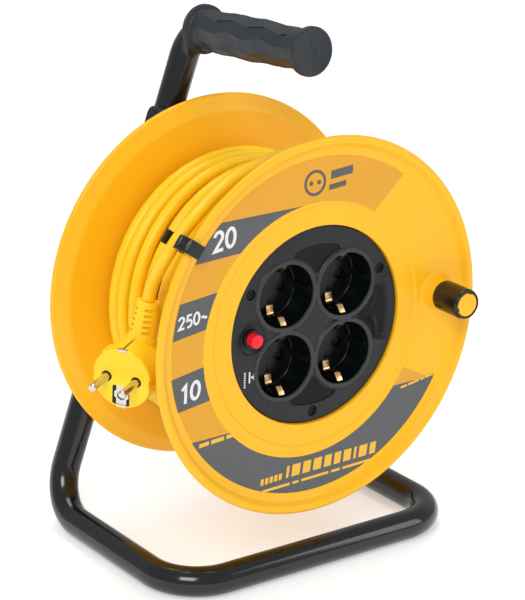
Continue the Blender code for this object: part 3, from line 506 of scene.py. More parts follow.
def arc_route(corners, radii, steps=14):
    """Straight runs through the corners, with an arc of the given radius at each."""
    route = [Vector(corners[0])]
    for before, corner, after, radius in zip(corners, corners[1:], corners[2:], radii):
        arrive = (Vector(corner) - Vector(before)).normalized()
        leave = (Vector(after) - Vector(corner)).normalized()
        turn = arrive.angle(leave)
        start = Vector(corner) - arrive * radius * math.tan(turn / 2)
        inward = (leave - arrive * leave.dot(arrive)).normalized()
        centre = start + inward * radius
        for i in range(steps + 1):
            angle = turn * i / steps
            route.append(centre - inward * radius * math.cos(angle) + arrive * radius * math.sin(angle))
    route.append(Vector(corners[-1]))
    return route


STAND_HALF = 101.3
FRONT_RUN_Y = -62.2
TUBE_Z = 9.25
LEG_TOP = 88
HANDLE_HEIGHT = HUB_HEIGHT + 155.2
HANDLE_RISE = math.radians(4.4)
LEG_LEAN = STAND_HALF / (HANDLE_HEIGHT - 8.935)
GRIP_REAR = 71


def handle_point(y):
    """The handle's centreline at a depth."""
    return Vector((0, y, HANDLE_HEIGHT + (POST_Y - y) * math.tan(HANDLE_RISE)))


def leg_x(height):
    """How far out the leaning legs' centrelines are at a height."""
    return STAND_HALF - LEG_LEAN * (height - 8.935)


def make_tube():
    half = STAND_HALF
    top = HUB_HEIGHT + LEG_TOP
    corners = [handle_point(-35), handle_point(POST_Y), (-half, POST_Y, TUBE_Z), (-half, FRONT_RUN_Y, TUBE_Z),
               (half, FRONT_RUN_Y, TUBE_Z), (half, POST_Y, TUBE_Z), (leg_x(top), POST_Y, top)]
    route = arc_route(corners, [20, 30, 32, 32, 30])
    guide = sweep("guide", [STAND @ point for point in route], TUBE_RADIUS, 14)
    bpy.context.view_layer.update()
    data = bpy.data.meshes.new_from_object(guide.evaluated_get(bpy.context.evaluated_depsgraph_get()))
    bpy.data.objects.remove(guide, do_unlink=True)
    tube = show("stand_tube", data)
    wall = tube.modifiers.new("wall", "SOLIDIFY")
    wall.thickness = 1.5 * MM
    wall.offset = -1
    settle(tube, 40)
    dress(tube, FRAME, "stand", "frame_paint", "frame_tube")


def make_leg_insert():
    top = HUB_HEIGHT + LEG_TOP
    lean = Matrix.Rotation(-math.atan(LEG_LEAN), 4, "Y")
    profile = rounded([(0, 2.3), (8.6, 2.1, 1.2), (8.9, 0.1), (7.3, 0.1), (7.3, -11.5, 0.5), (6.2, -13.5, 0.5),
                       (0, -13.5)])
    plug = lathe("leg_insert", profile, STAND @ shift(leg_x(top), POST_Y, top) @ lean, 48)
    dress(plug, BLACK, "stand", "black_moulding", "leg_end_plug")


GRIP_FACETS = 10
GRIP_WAVE = 32


def grip_radius(along):
    """The grip's radius along its axis, from the rear collar to the front disc."""
    stations = [0, 0.35, 1.5, 1.9, 2.5, 2.9, 3.9, 4.4, 5.2, 8, 24, 56, 90, 102, 105, 107, 108.3, 109.0, 111.4, 112.2,
                112.6]
    radii = [14.9, 15.4, 15.45, 14.7, 14.7, 15.3, 15.3, 14.0, 12.9, 12.65, 13.2, 13.6, 12.6, 12.15, 12.2, 12.7, 14.2,
             14.8, 14.8, 14.5, 13.8]
    return np.interp(along, stations, radii)


def grip_phase(along):
    return (along / GRIP_WAVE + 0.12) % 1


def grip_wave(along):
    """How far round the facets' edges have moved, in millimetres: a zigzag with blunt turns."""
    ramp = np.abs(grip_phase(along) * 2 - 1) * 2 - 1
    return 1.3 * np.clip(ramp * 1.1, -1, 1)


def make_grip():
    """A rubber sleeve faceted by ten zigzag edges, with short slots along every fifth edge."""
    around = 288
    along = np.concatenate([np.linspace(0, 5.2, 24)[:-1], np.linspace(5.2, 104, 250)[:-1],
                            np.linspace(104, 112.6, 34)])
    angle = np.arange(around) * 2 * math.pi / around
    s, a = np.meshgrid(along, angle, indexing="ij")
    base = grip_radius(s)
    blend = np.clip((s - 7) / 6, 0, 1) * np.clip((101 - s) / 5, 0, 1)
    pitch = 2 * math.pi / GRIP_FACETS
    turned = a - grip_wave(s) / 13.0 - math.radians(22)
    cell = np.floor(turned / pitch)
    inside = turned - (cell + 0.5) * pitch
    facet = base * (np.cos(pitch / 2) / np.cos(inside) - 1)
    edge = (pitch / 2 - np.abs(inside)) * base
    line = 0.2 * np.exp(-(edge / 0.32) ** 2)
    nearest = np.round(turned / pitch) % 5
    in_slot = (nearest == 3) & (grip_phase(s) > 0.05) & (grip_phase(s) < 0.45)
    slot = np.where(in_slot, -1.0 * np.clip((0.8 - edge) / 0.25, 0, 1), 0)
    radius = base + blend * (facet + line + slot)
    place = STAND @ Matrix.Translation(handle_point(GRIP_REAR)) @ Matrix.Rotation(math.pi / 2 - HANDLE_RISE, 4, "X")
    bm = bmesh.new()
    rings = []
    for i in range(len(along)):
        rings.append([bm.verts.new((radius[i, k] * math.cos(angle[k]), radius[i, k] * math.sin(angle[k]), along[i]))
                      for k in range(around)])
    for a, b in zip(rings, rings[1:]):
        bridge(bm, a, b)
    cap_profile = ((13.2, 112.6), (12.6, 112.3), (4, 112.2), (1.6, 112.2), (1.3, 111.9))
    throat_profile = ((14.4, 0.0), (13.4, 0.4), (11.6, 7))
    for last, profile in ((rings[-1], cap_profile), (rings[0], throat_profile)):
        for inner, z in profile:
            ring = [bm.verts.new((inner * math.cos(t), inner * math.sin(t), z)) for t in angle]
            bridge(bm, last, ring)
            last = ring
        bm.faces.new(last)
    grip = finish_mesh(bm, "grip", place, 50)
    dress(grip, GRIP, "stand", "grip_rubber", "handle_grip")
    marks = []
    for degrees in (8, 188):
        outline = [(-0.2, 2.2), (0.2, 2.2), (0.15, 11.8), (-0.15, 11.8)]
        marks.append(slab("grip_mark", outline, 112.0, 112.36, place @ spin(degrees)))
    dress(unite(marks, "grip_mark"), GRIP, "stand", "grip_rubber")


def bracket_outline(front):
    """A bracket half's outline in the bracket's frame: the rear half is cut off lower."""
    top = [(-33.6, 106, 3), (-31.5, 109, 3), (-5, 109, 4), (3, 95, 5), (36.5, 95, 3), (38.7, 91, 3)]
    if not front:
        top = [(-40.4, BRACKET_REAR_TOP, 3), (40.4, BRACKET_REAR_TOP, 3)]
    foot = [(75.5, -18, 4), (74.5, -25, 4), (68, -30, 4)]
    return rounded(top + foot + [(-x, z, radius) for x, z, radius in reversed(foot)])


def leg_cores(place, radius):
    """Two bars along the legs, in the bracket's frame."""
    low, high = -60, 130
    cores = []
    for side in (-1, 1):
        start = Vector((side * leg_x(HUB_HEIGHT + low), low, 0))
        along = Vector((side * leg_x(HUB_HEIGHT + high), high, 0)) - start
        turn = along.to_track_quat("Z", "Y").to_matrix().to_4x4()
        cores.append(disc("leg_core", radius, 0, along.length, place @ Matrix.Translation(start) @ turn))
    return cores


def make_bracket(front):
    """One half of the clamp bracket: a moulding with a rim, pockets, a hub boss and screw recesses."""
    sign = 1 if front else -1
    name = "bracket_front_shell" if front else "bracket_rear_shell"
    place = STAND @ shift(0, POST_Y, HUB_HEIGHT) @ UPRIGHT
    near, far = sorted((sign * 0.15, sign * BRACKET_DEPTH))
    shell = slab(name, bracket_outline(front), near, far, place)
    soften(shell, 1.6, 4)
    cuts = leg_cores(place, TUBE_RADIUS + 0.35)
    outer = sorted((sign * (BRACKET_DEPTH - 2.2), sign * (BRACKET_DEPTH + 3)))
    pockets = [[(side * x, z) for x, z in half] for half in (
        [(60, -9), (42, -9), (24, 24), (36, 44), (45, 36)], [(29, 52), (34, 78), (9, 78), (9, 52)])
        for side in (-1, 1)]
    pockets += [[(-6, 53), (6, 53), (6, 68), (-6, 68)], [(-22, -24), (22, -24), (20, -20), (-20, -20)]]
    for pocket in pockets:
        cuts.append(slab("pocket", rounded([(x, z, 3) for x, z in pocket]), *outer, place))
    recess = sorted((sign * 11, sign * (BRACKET_DEPTH + 3)))
    for x, z in BRACKET_SCREWS:
        cuts.append(disc("recess", 4.9, *recess, place @ shift(x, z), 32))
    hub_depth = sorted((sign * (BRACKET_DEPTH - 1.2), sign * (BRACKET_DEPTH + 3)))
    inner = 13.4 if front else 15.5
    ring = rounded([(inner, hub_depth[0]), (24, hub_depth[0], 0.8), (25, hub_depth[1]), (inner, hub_depth[1])])
    if front:
        cuts.append(disc("bore", inner, 0.2, 20, place, 48))
    cuts.append(lathe("hub_ring", ring, place, 64))
    carve(shell, cuts)
    dress(shell, BLACK, "stand", "black_moulding", name.removesuffix("_shell"))


def cross_screw(name, place, head, height, material, body, slot, *nodes):
    """A pan head with a cross recess, whose seat is at z = 0."""
    profile = rounded([(0, height), (head * 0.55, height, 0.8), (head, height * 0.25, 0.3), (head, 0), (head * 0.4, 0),
                       (head * 0.4, -3), (0, -3)])
    screw = lathe(name, profile, place, 40)
    reach = head * 0.62
    cuts = []
    for turn in (0, math.pi / 2):
        arm = Matrix.Rotation(turn + 0.5, 4, "Z")
        cuts.append(box("arm", (-reach, -head * 0.13, height * 0.2), (reach, head * 0.13, height + 1), place @ arm))
    carve(screw, cuts)
    dress(screw, material, body, slot, *nodes)


def make_stand():
    make_tube()
    make_leg_insert()
    make_grip()
    make_bracket(True)
    make_bracket(False)
    back = STAND @ shift(0, POST_Y, HUB_HEIGHT) @ UPRIGHT @ Matrix.Rotation(math.pi, 4, "X")
    for i, (x, z) in enumerate(BRACKET_SCREWS):
        cross_screw(f"bracket_screw_head_{i + 1}", back @ shift(x, -z, 11.1), 4.3, 2.3, STEEL, "stand",
                    "zinc_steel", f"bracket_screw_{i + 1}")


# --- Drum

def flange_side():
    """The winding side and the rolled rim, shared by both flanges, as (radius, outward, corner radius)."""
    return [(60, 47.5, 1), (66, 50.4, 5), (108, 51.6, 8), (113.6, 54.6, 3), (117.0, 56.0, 1.2), (118, 57.4, 1.4),
            (117.6, 59.2, 1.6), (115.6, 60.0, 1.4), (113.2, 59.2, 2.0), (110.6, 56.4, 2.5)]


def make_front_flange():
    seat = [(107.4, 54.9, 1.6), (105.8, LABEL_FACE, 0.6), (76.0, LABEL_FACE, 0.5), (75.0, 53.6, 0.5),
            (62.6, 53.6, 0.4), (62.3, 53.2, 0.3), (62.3, 49.2), (53, 49.2), (53, 47.5)]
    flange = lathe("flange_front", rounded(flange_side() + seat, 5), DRUM, 192, 40)
    knob = shift(KNOB_X, KNOB_Y)
    skirt = rounded([(0, 62.3), (8.9, 62.3, 0.6), (9.9, 58.0, 2), (11.0, 55.4, 1.5), (12.6, 54.45), (12.6, 53.4),
                     (0, 53.4)])
    boss = lathe("flange_boss", skirt, DRUM @ knob, 64, 40)
    dress(flange, YELLOW, "drum", "drum_yellow", "front_flange")
    dress(boss, YELLOW, "drum", "drum_yellow")


def make_rear_flange():
    hub = [(13.3, 8), (17.3, 8), (17.3, 47.5)]
    back = [(108, 55.6, 2), (66, 53.0, 3), (61, 50.3, 1), (25.5, 50.3, 1.5), (24, 56.5, 1), (13.3, 56.5, 0.5)]
    outline = [(point[0], -point[1], *point[2:]) for point in hub + flange_side() + back]
    flange = lathe("flange_rear", rounded(outline, 5), DRUM, 192, 40)
    dress(flange, YELLOW, "drum", "drum_yellow", "rear_flange")
    ribs = []
    for i in range(12):
        outline = rounded([(24.5, -50.1), (59.5, -50.1), (59.5, -52.0, 0.6), (28, -54.6, 1.5), (24.5, -54.8, 0.6)])
        ribs.append(slab("flange_ribs", outline, -0.9, 0.9, DRUM @ spin(30 * i + 15) @ SECTION))
    dress(unite(ribs, "flange_ribs"), YELLOW, "drum", "drum_yellow")
    for i, (radius, degrees) in enumerate(DRUM_SCREWS):
        place = DRUM @ shift(*polar(radius, degrees), -50.5) @ Matrix.Rotation(math.pi, 4, "X")
        cross_screw(f"drum_screw_head_{i + 1}", place, 3.2, 1.6, STEEL, "drum", "zinc_steel", f"drum_screw_{i + 1}")


RING_REACH = 23.5


def fan_outline(shrink=0.0):
    """The recess above two wells: an arc outside, and the two wells' rims below."""
    reach = RING_REACH + shrink
    outer = 50.7 - shrink
    half = WELL_PITCH / 2
    edge = 1.3 + shrink
    low = math.degrees(math.asin((half - edge) / reach))
    points = arc(outer, 108, 72, 16)
    points += arc(reach, 101, 90 + low, 12, (half, half))
    points += [(-x, y) for x, y in reversed(arc(reach, 101, 90 + low, 12, (half, half)))]
    return points


def diamond_outline(shrink=0.0):
    """The recess between the four wells, with blunt corners."""
    reach = RING_REACH + shrink
    half = WELL_PITCH / 2
    edge = 1.3 + shrink
    swing = math.degrees(math.acos((half - edge) / reach))
    points = []
    for turn in (0, 90, 180, 270):
        for x, y in arc(reach, 270 - swing, 180 + swing, 10, (half, half)):
            angle = math.radians(-turn)
            points.append((x * math.cos(angle) - y * math.sin(angle), x * math.sin(angle) + y * math.cos(angle)))
    return points


def make_panel():
    """The round face with its recesses, the wells' raised rims and the reset button's dish."""
    profile = rounded([(0, PANEL_FACE), (PANEL_RADIUS, PANEL_FACE, 1.0), (PANEL_RADIUS, 49.6), (0, 49.6)], 5)
    panel = lathe("panel", profile, DRUM, 160)
    cuts = []
    for x, y in WELL_CENTRES:
        cuts.append(disc("hole", WELL_RADIUS + 0.6, 48, 54, DRUM @ shift(x, y), 96))
    for radius, degrees in PANEL_SCREWS:
        cuts.append(lathe("sink", [(0, 50.3), (3.3, 50.3), (3.5, 53), (0, 53)],
                          DRUM @ shift(*polar(radius, degrees)), 40))
    cuts.append(disc("dish", 9.8, 48, 53, DRUM @ shift(BUTTON_X), 64))
    floors = {}
    for side, degrees in (("top", 0), ("right", -90), ("bottom", 180)):
        place = DRUM @ spin(degrees)
        cuts.append(slab("fan", fan_outline(), PANEL_FACE - 0.7, 54, place))
        floors[side] = slab(f"panel_inlay_{side}", fan_outline(0.12), 49.8, PANEL_FACE - 0.55, place)
    cuts.append(slab("diamond", diamond_outline(), PANEL_FACE - 0.7, 54, DRUM))
    floors["centre"] = slab("panel_inlay_centre", diamond_outline(0.12), 49.8, PANEL_FACE - 0.55, DRUM)
    carve(panel, cuts)
    dress(panel, ANTHRACITE, "drum", "panel_anthracite", "socket_panel")
    for floor in floors.values():
        dress(floor, PANEL_GRAIN, "drum", "panel_anthracite")
    for i, (x, y) in enumerate(WELL_CENTRES):
        make_well(i + 1, DRUM @ shift(x, y))
    dish = rounded([(5.9, 47.5), (5.9, 50.6, 0.3), (7.0, 50.4, 1), (9.2, 51.3, 1), (10.1, 52.3, 0.5), (10.9, 52.3, 0.5),
                    (11.3, 51.5), (9.7, 50.0), (9.7, 47.5)])
    place = DRUM @ shift(BUTTON_X)
    dress(lathe("reset_dish", dish, place, 72), ANTHRACITE, "drum", "panel_anthracite")
    collar = rounded([(4.6, 46), (4.6, 51.9, 0.3), (5.75, 51.9, 0.3), (5.75, 46)])
    dress(lathe("reset_collar", collar, place, 56), BLACK, "drum", "black_moulding")
    for i, (radius, degrees) in enumerate(PANEL_SCREWS):
        place = DRUM @ shift(*polar(radius, degrees), 50.4)
        cross_screw(f"panel_screw_head_{i + 1}", place, 2.8, 0.9, DARK_STEEL, "drum", "zinc_steel",
                    f"panel_screw_{i + 1}")


def make_well(number, place):
    """One socket well: a raised rim, a glossy cup with guide rails and pin holes, shutters and two earth clips."""
    rim = rounded([(WELL_RADIUS, 50), (WELL_RADIUS, 52.2, 0.5), (20.4, 52.5, 0.4), (22.3, 52.4, 0.5), (22.9, 51.5),
                   (22.9, 51.0), (20.6, 51.0), (20.6, 50)], 4)
    dress(lathe(f"well_rim_{number}", rim, place, 112), RIM_EDGE, "drum", "panel_anthracite")
    cup_profile = rounded([(0, WELL_FLOOR), (18.9, WELL_FLOOR, 1.0), (WELL_RADIUS - 0.05, 51.6, 0.2), (20.5, 51.6),
                           (20.5, 32.3), (0, 32.3)], 4)
    cup = lathe(f"well_cup_{number}", cup_profile, place, 112)
    cuts = []
    for side in (-1, 1):
        mouth = [(0, 30), (2.85, 30), (2.85, WELL_FLOOR - 0.7), (3.6, WELL_FLOOR + 0.3), (3.6, 38), (0, 38)]
        cuts.append(lathe("pin_hole", mouth, place @ shift(side * 9.5), 32))
        cuts.append(box("clip_slot", (-2.7, side * 18.7 - 1.0, 30), (2.7, side * 18.7 + 1.0, 36), place))
    carve(cup, cuts)
    dress(cup, WELL_BLACK, "drum", "panel_anthracite")
    rails = []
    for side in (-1, 1):
        outline = rounded([(side * 20.2, -2.6), (side * 18.0, -2.6, 0.5), (side * 18.0, 2.6, 0.5), (side * 20.2, 2.6)])
        rails.append(slab("well_rails", outline, 33.5, 49.4, place))
        shutter = lathe(f"shutter_{number}_{side + 2}", rounded([(0, 31.8), (2.8, 31.8, 0.3), (2.8, 30.9), (0, 30.9)]),
                        place @ shift(side * 9.5), 24)
        dress(shutter, SHUTTER, "drum", "panel_anthracite")
    dress(unite(rails, f"well_rails_{number}"), WELL_BLACK, "drum", "panel_anthracite")
    for side, where in ((-1, "low"), (1, "high")):
        clip = earth_clip(f"earth_clip_{where}_{number}", place, side)
        dress(clip, BRASS, "drum", "contact_brass")
        if number == 1 and side == -1:
            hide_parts("earth_strip_left", "earth_strip_right")


def earth_clip(name, place, side):
    """A sprung brass strip up a well's wall: an upright tab at the floor, a valley, and an arch to the mouth."""
    path = [(35.0, 9.0), (35.3, 6.0), (35.9, 3.9), (37.4, 2.6), (39.2, 2.9), (41.0, 4.4), (43.4, 5.4), (45.8, 4.9),
            (48.0, 2.8), (49.8, 0.4)]
    line = smooth_path([(depth, height, 0) for depth, height in path], 0.6)
    bm = bmesh.new()
    half_thickness = 0.4
    rows = []
    for i, point in enumerate(line):
        along = (line[min(i + 1, len(line) - 1)] - line[max(i - 1, 0)]).normalized()
        across = Vector((-along.y, along.x, 0)) * half_thickness
        width = 2.45 - 0.5 * i / len(line)
        row = []
        for offset, x in ((across, -width), (across * 1.25, 0), (across, width), (-across, width), (-across, -width)):
            depth, height = point.x + offset.x, point.y + offset.y
            row.append(bm.verts.new((x, side * (WELL_RADIUS - 0.2 - height), depth)))
        rows.append(row)
    for a, b in zip(rows, rows[1:]):
        bridge(bm, a, b)
    bm.faces.new(rows[0])
    bm.faces.new(rows[-1])
    return finish_mesh(bm, name, place, 60)


# --- Label

LABEL_HOLE_RADIUS = 80.0
LABEL_HOLE_CENTRE = Vector((-3.0, -2.2))
TEXT_TILT = 6.5
TEXT_SLANT = 0.14
STROKE_WIDTH = 0.165


def hole_edge(start, end, steps):
    """The label's inner edge, a circle a little off the drum's axis, between two directions from the axis."""
    points = []
    for i in range(steps + 1):
        along = Vector(polar(1, start + (end - start) * i / steps))
        near = along.dot(LABEL_HOLE_CENTRE)
        reach = near + math.sqrt(near ** 2 + LABEL_HOLE_RADIUS ** 2 - LABEL_HOLE_CENTRE.length_squared)
        points.append(tuple(along * reach))
    return points


def field(outer, inner_from, inner_to, outer_from, outer_to, steps=20):
    """A part of the label ring, whose ends may be slanted."""
    return arc(outer, outer_from, outer_to, steps) + hole_edge(inner_to, inner_from, steps)


# Numerals as single strokes in a box one unit high
STROKES = {
    "0": [(0.29 + 0.23 * math.cos(t * math.pi / 12), 0.5 + 0.42 * math.sin(t * math.pi / 12)) for t in range(25)],
    "1": [(0.08, 0.70), (0.30, 0.90), (0.30, 0.0)],
    "2": [(0.07, 0.72)] + [(0.29 + 0.215 * math.cos(math.radians(t)), 0.69 + 0.23 * math.sin(math.radians(t)))
                           for t in range(165, -46, -15)] + [(0.10, 0.08), (0.56, 0.08)],
    "5": [(0.50, 0.92), (0.16, 0.92), (0.12, 0.55)]
         + [(0.28 + 0.23 * math.cos(math.radians(t)), 0.32 + 0.25 * math.sin(math.radians(t)))
            for t in range(115, -131, -15)],
    "~": [(0.05 + 0.045 * t, 0.42 + 0.07 * math.sin(t * math.pi / 5)) for t in range(11)],
}
ADVANCE = {"0": 0.66, "1": 0.56, "2": 0.66, "5": 0.64, "~": 0.6}


def ribbon(path, width):
    """Both edges of a stroke of even width, with mitred corners."""
    line = [Vector(p) for p in path]
    left, right = [], []
    for i, here in enumerate(line):
        before = (here - line[i - 1]).normalized() if i else None
        after = (line[i + 1] - here).normalized() if i + 1 < len(line) else None
        if before is None or after is None:
            before = after = before or after
        if (line[0] - line[-1]).length < 1e-6 and i in (0, len(line) - 1):
            before, after = (line[-1] - line[-2]).normalized(), (line[1] - line[0]).normalized()
        side = Vector((-before.y - after.y, before.x + after.x)).normalized()
        reach = width / 2 / max(0.45, side.dot(Vector((-after.y, after.x))))
        left.append(here + side * reach)
        right.append(here - side * reach)
    return left, right


def numerals(name, text, size, centre, face):
    """A row of slanted numerals, as thin solids on the label."""
    total = sum(ADVANCE[letter] for letter in text)
    place = DRUM @ shift(*centre) @ spin(TEXT_TILT)
    bm = bmesh.new()
    cursor = -total / 2
    for letter in text:
        left, right = ribbon(STROKES[letter], STROKE_WIDTH)
        for edge in (left, right):
            for i, point in enumerate(edge):
                x, y = point.x + cursor + TEXT_SLANT * (point.y - 0.5), point.y - 0.5
                edge[i] = bm.verts.new((x * size, y * size, face))
        for i in range(len(left) - 1):
            bm.faces.new([left[i], right[i], right[i + 1], left[i + 1]])
        cursor += ADVANCE[letter]
    made = bmesh.ops.extrude_face_region(bm, geom=bm.faces[:])
    lowered = [v for v in made["geom"] if isinstance(v, bmesh.types.BMVert)]
    bmesh.ops.translate(bm, verts=lowered, vec=(0, 0, -0.06))
    dress(finish_mesh(bm, name, place), PRINT_WHITE, "drum", "drum_yellow")


def dashes(start, end, height, blocks, gap, low, high):
    """A row of plain blocks between two points on the label, where it has a line of print."""
    a, b = Vector(start), Vector(end)
    along = (b - a).normalized()
    up = Vector((-along.y, along.x)) + along * TEXT_SLANT
    total = sum(blocks) + gap * (len(blocks) - 1)
    unit = (b - a).length / total
    made = []
    cursor = 0
    for i, width in enumerate(blocks):
        left = a + along * cursor * unit
        right = left + along * width * unit
        outline = [left, right, right + up * height, left + up * height]
        made.append(slab(f"dash_{i}", [tuple(p) for p in outline], low, high, DRUM))
        cursor += width + gap
    return made


def join(pieces, name, material, slot):
    """Makes one piece of the drum of several that don't touch."""
    bm = bmesh.new()
    for piece in pieces:
        bm.from_mesh(piece.data)
        bpy.data.objects.remove(piece, do_unlink=True)
    dress(finish_mesh(bm, name, Matrix.Identity(4)), material, "drum", slot)


def make_label():
    """The printed film round the front flange: grey fields, plain numerals, blocks for print and a socket symbol."""
    film = slab("label_film", field(105.2, 58.5, 329.5, 54.4, 330.5, 150), LABEL_FACE, LABEL_FACE + 0.10, DRUM)
    dress(film, FILM, "drum", "drum_yellow")
    fields = {
        "wedge": arc(104.9, 133.1, 148.8, 16) + hole_edge(136.0, 99.7, 16),
        "upper": field(104.8, 154.7, 170.4, 162.1, 174.3),
        "lower": field(105.6, 186.3, 201.7, 187.0, 198.8),
        "crescent": field(105.6, 220.8, 320.0, 211.5, 331.5, 90),
    }
    for name, outline in fields.items():
        patch = slab(f"label_{name}", outline, LABEL_FACE + 0.05, LABEL_FACE + 0.2, DRUM)
        dress(patch, LABEL_GREY, "drum", "drum_yellow")
    face = LABEL_FACE + 0.24
    numerals("label_20", "20", 13.0, (-69.0, 66.3), face)
    numerals("label_250", "250~", 8.2, (-90.6, 21.6), face)
    numerals("label_10", "10", 12.4, (-91.2, -22.6), face)
    make_symbol(face)
    # Rows of print: start, end, height, widths of the blocks, gap between them
    rows = [((-20.8, -93.7), (47.8, -92.6), 7.6, [0.5, 1.6, 1.5, 1.6, 1.4, 1.3, 1.5, 0.5, 1.6, 1.2], 0.55),
            ((-39.8, -94.4), (-24.0, -93.8), 4.0, [1, 1, 1, 1, 1], 0.45),
            ((-38.4, -99.4), (48.0, -97.3), 1.7, [9, 2, 9, 3, 11], 0.9),
            ((-85.0, -59.6), (-61.0, -57.8), 2.6, [3, 4, 2], 0.7),
            ((66.4, -54.0), (93.0, -49.9), 1.5, [3, 5, 2, 4], 0.6)]
    print_rows = [block for row in rows for block in dashes(*row, face - 0.1, face)]
    join(print_rows, "label_blocks", PRINT_YELLOW, "drum_yellow")


def make_symbol(face):
    """A plain round socket symbol and two plain blocks, over the panel."""
    place = DRUM @ shift(-5.5, 90.0)
    low, high = face - 0.17, face
    marks = [lathe("symbol_ring", [(6.2, high), (7.9, high), (7.9, low), (6.2, low)], place, 64)]
    marks += [disc("symbol_dot", 1.4, high, low, place @ shift(side * 2.9), 24) for side in (-1, 1)]
    marks += dashes((6.0, 90.6), (22.0, 92.0), 5.0, [1], 0, low, high)
    marks += dashes((4.9, 84.0), (17.4, 85.2), 3.2, [1], 0, low, high)
    join(marks, "label_symbol", PRINT_DARK, "drum_yellow")


def make_panel_icon():
    """The small white mark by the reset button: an arrowhead over a bar, and a row of dots."""
    low, high = PANEL_FACE, PANEL_FACE + 0.12
    marks = [box("bar", (-48.1, -27.4, low), (-47.1, -20.4, high), DRUM),
             box("stem", (-46.6, -24.5, low), (-44.9, -23.5, high), DRUM),
             slab("head", [(-44.9, -26.0), (-42.2, -24.0), (-44.9, -22.0)], low, high, DRUM)]
    marks += [box("dot", (-51.6, y - 0.9, low), (-50.5, y, high), DRUM) for y in np.linspace(-20.2, -29.0, 7)]
    join(marks, "panel_mark", PRINT_WHITE, "panel_anthracite")


# --- Knob, button and clip

def make_knob():
    place = DRUM @ shift(KNOB_X, KNOB_Y)
    shell = rounded([(3.3, 62.7), (9.0, 62.7, 0.4), (9.5, 63.6, 0.6), (9.55, 83.2, 1.2), (8.6, 85.15, 0.9),
                     (8.0, 85.15, 0.4), (7.7, 83.9, 0.4), (7.7, 80.1), (3.3, 80.1)], 5)
    knob = lathe("knob_shell", shell, place, 96)
    carve(knob, [box("slot", (8.0, -0.65, 62), (11, 0.65, 70.5), place @ spin(207))])
    dress(knob, KNOB, "knob", "knob_black", "knob_sleeve")
    tabs = []
    for degrees in (75, 195, 315):
        outline = arc(7.9, degrees - 9, degrees + 9, 8) + arc(6.9, degrees + 7, degrees - 7, 8)
        tabs.append(slab("knob_tabs", outline, 84.3, 85.2, place))
    dress(unite(tabs, "knob_tabs"), KNOB, "knob", "knob_black")
    cap = rounded([(0, 85.05), (7.2, 85.0, 0.5), (7.45, 84.2, 0.3), (7.45, 80.5), (0, 80.5)])
    dress(lathe("knob_disc", cap, place, 72), YELLOW, "drum", "drum_yellow", "knob_cap")


def make_button():
    radius = 4.25
    profile = rounded([(0, 0), (radius, 0, 0.6), (radius, -14.5, 0.3), (0, -14.5)], 5)
    button = lathe("reset_cap", profile, DRUM @ shift(BUTTON_X, 0, BUTTON_FACE), 64)
    dress(button, RED, "button", "button_red", "reset_button")


CLIP_ANGLE = 145
CLIP_HALF_WIDTH = 4.25
CLIP_OUTLINE = [(110.2, 60.6, 0.3), (110.2, 62.4, 0.3), (120.2, 62.4, 0.8), (121.8, 60.8, 0.6), (121.8, 54.2, 0.3),
                (122.6, 53.4, 0.3), (121.8, 52.6, 0.3), (117.8, 46.8, 0.5), (118.0, 45.6, 0.2), (116.8, 45.1, 0.2),
                (110.0, 45.1, 1), (107.9, 43.9, 1), (107.9, 35.1, 1), (110.0, 33.9, 1), (117.6, 33.9, 0.3),
                (117.6, 32.1, 0.3), (107.8, 32.1, 1), (105.9, 33.7, 0.8), (105.9, 45.8, 0.8), (107.8, 47.4, 0.8),
                (114.6, 47.6, 0.6), (118.4, 53.2, 0.4), (118.4, 54.2, 0.3), (114.6, 52.0, 0.3), (113.6, 53.4, 0.3),
                (118.5, 56.2, 0.4), (118.5, 60.5, 0.5)]


def make_clip():
    """The rim clip: a hook over the rim, a ridge along its back and a cradle for the cord."""
    place = DRUM @ spin(CLIP_ANGLE) @ SECTION
    clip = slab("rim_clip", rounded(CLIP_OUTLINE, 3), -CLIP_HALF_WIDTH, CLIP_HALF_WIDTH, place)
    ridge = rounded([(111.5, 61.8), (111.5, 63.0, 0.4), (120.0, 63.0, 0.6), (122.3, 61.0, 0.5), (122.3, 55.2, 0.4),
                     (121.2, 55.2), (121.2, 61.0), (119.6, 61.8)], 3)
    soften(clip, 0.35, 2)
    carve(clip, [slab("ridge", ridge, -1.1, 1.1, place)], "UNION")
    dress(clip, CLIP_BLACK, "drum", "black_moulding", "cord_clip")


# --- Plug

PLUG_FACE = Vector((-120.2, -18.5, 25))
PLUG_UP = Vector((-0.032, 0.996, 0.081))
PLUG_OUT = Vector((-0.857, -0.069, 0.511)).normalized()
PLUG_RADIUS = 18.7
PIN_OFFSET = 9.5
BOOT_LENGTH = 22.2
BOOT_TURN = 20


def plug_frame():
    right = PLUG_UP.cross(PLUG_OUT).normalized()
    up = PLUG_OUT.cross(right)
    axes = Matrix((right, up, PLUG_OUT)).transposed().to_4x4()
    return DRUM @ Matrix.Translation(PLUG_FACE) @ axes


def boot_frame():
    tail = tail_points()
    away = (tail[-1] - smooth_path(tail, TAIL_SPACING)[-2]).normalized()
    return DRUM @ Matrix.Translation(tail[-1]) @ away.to_track_quat("Z", "Y").to_matrix().to_4x4()


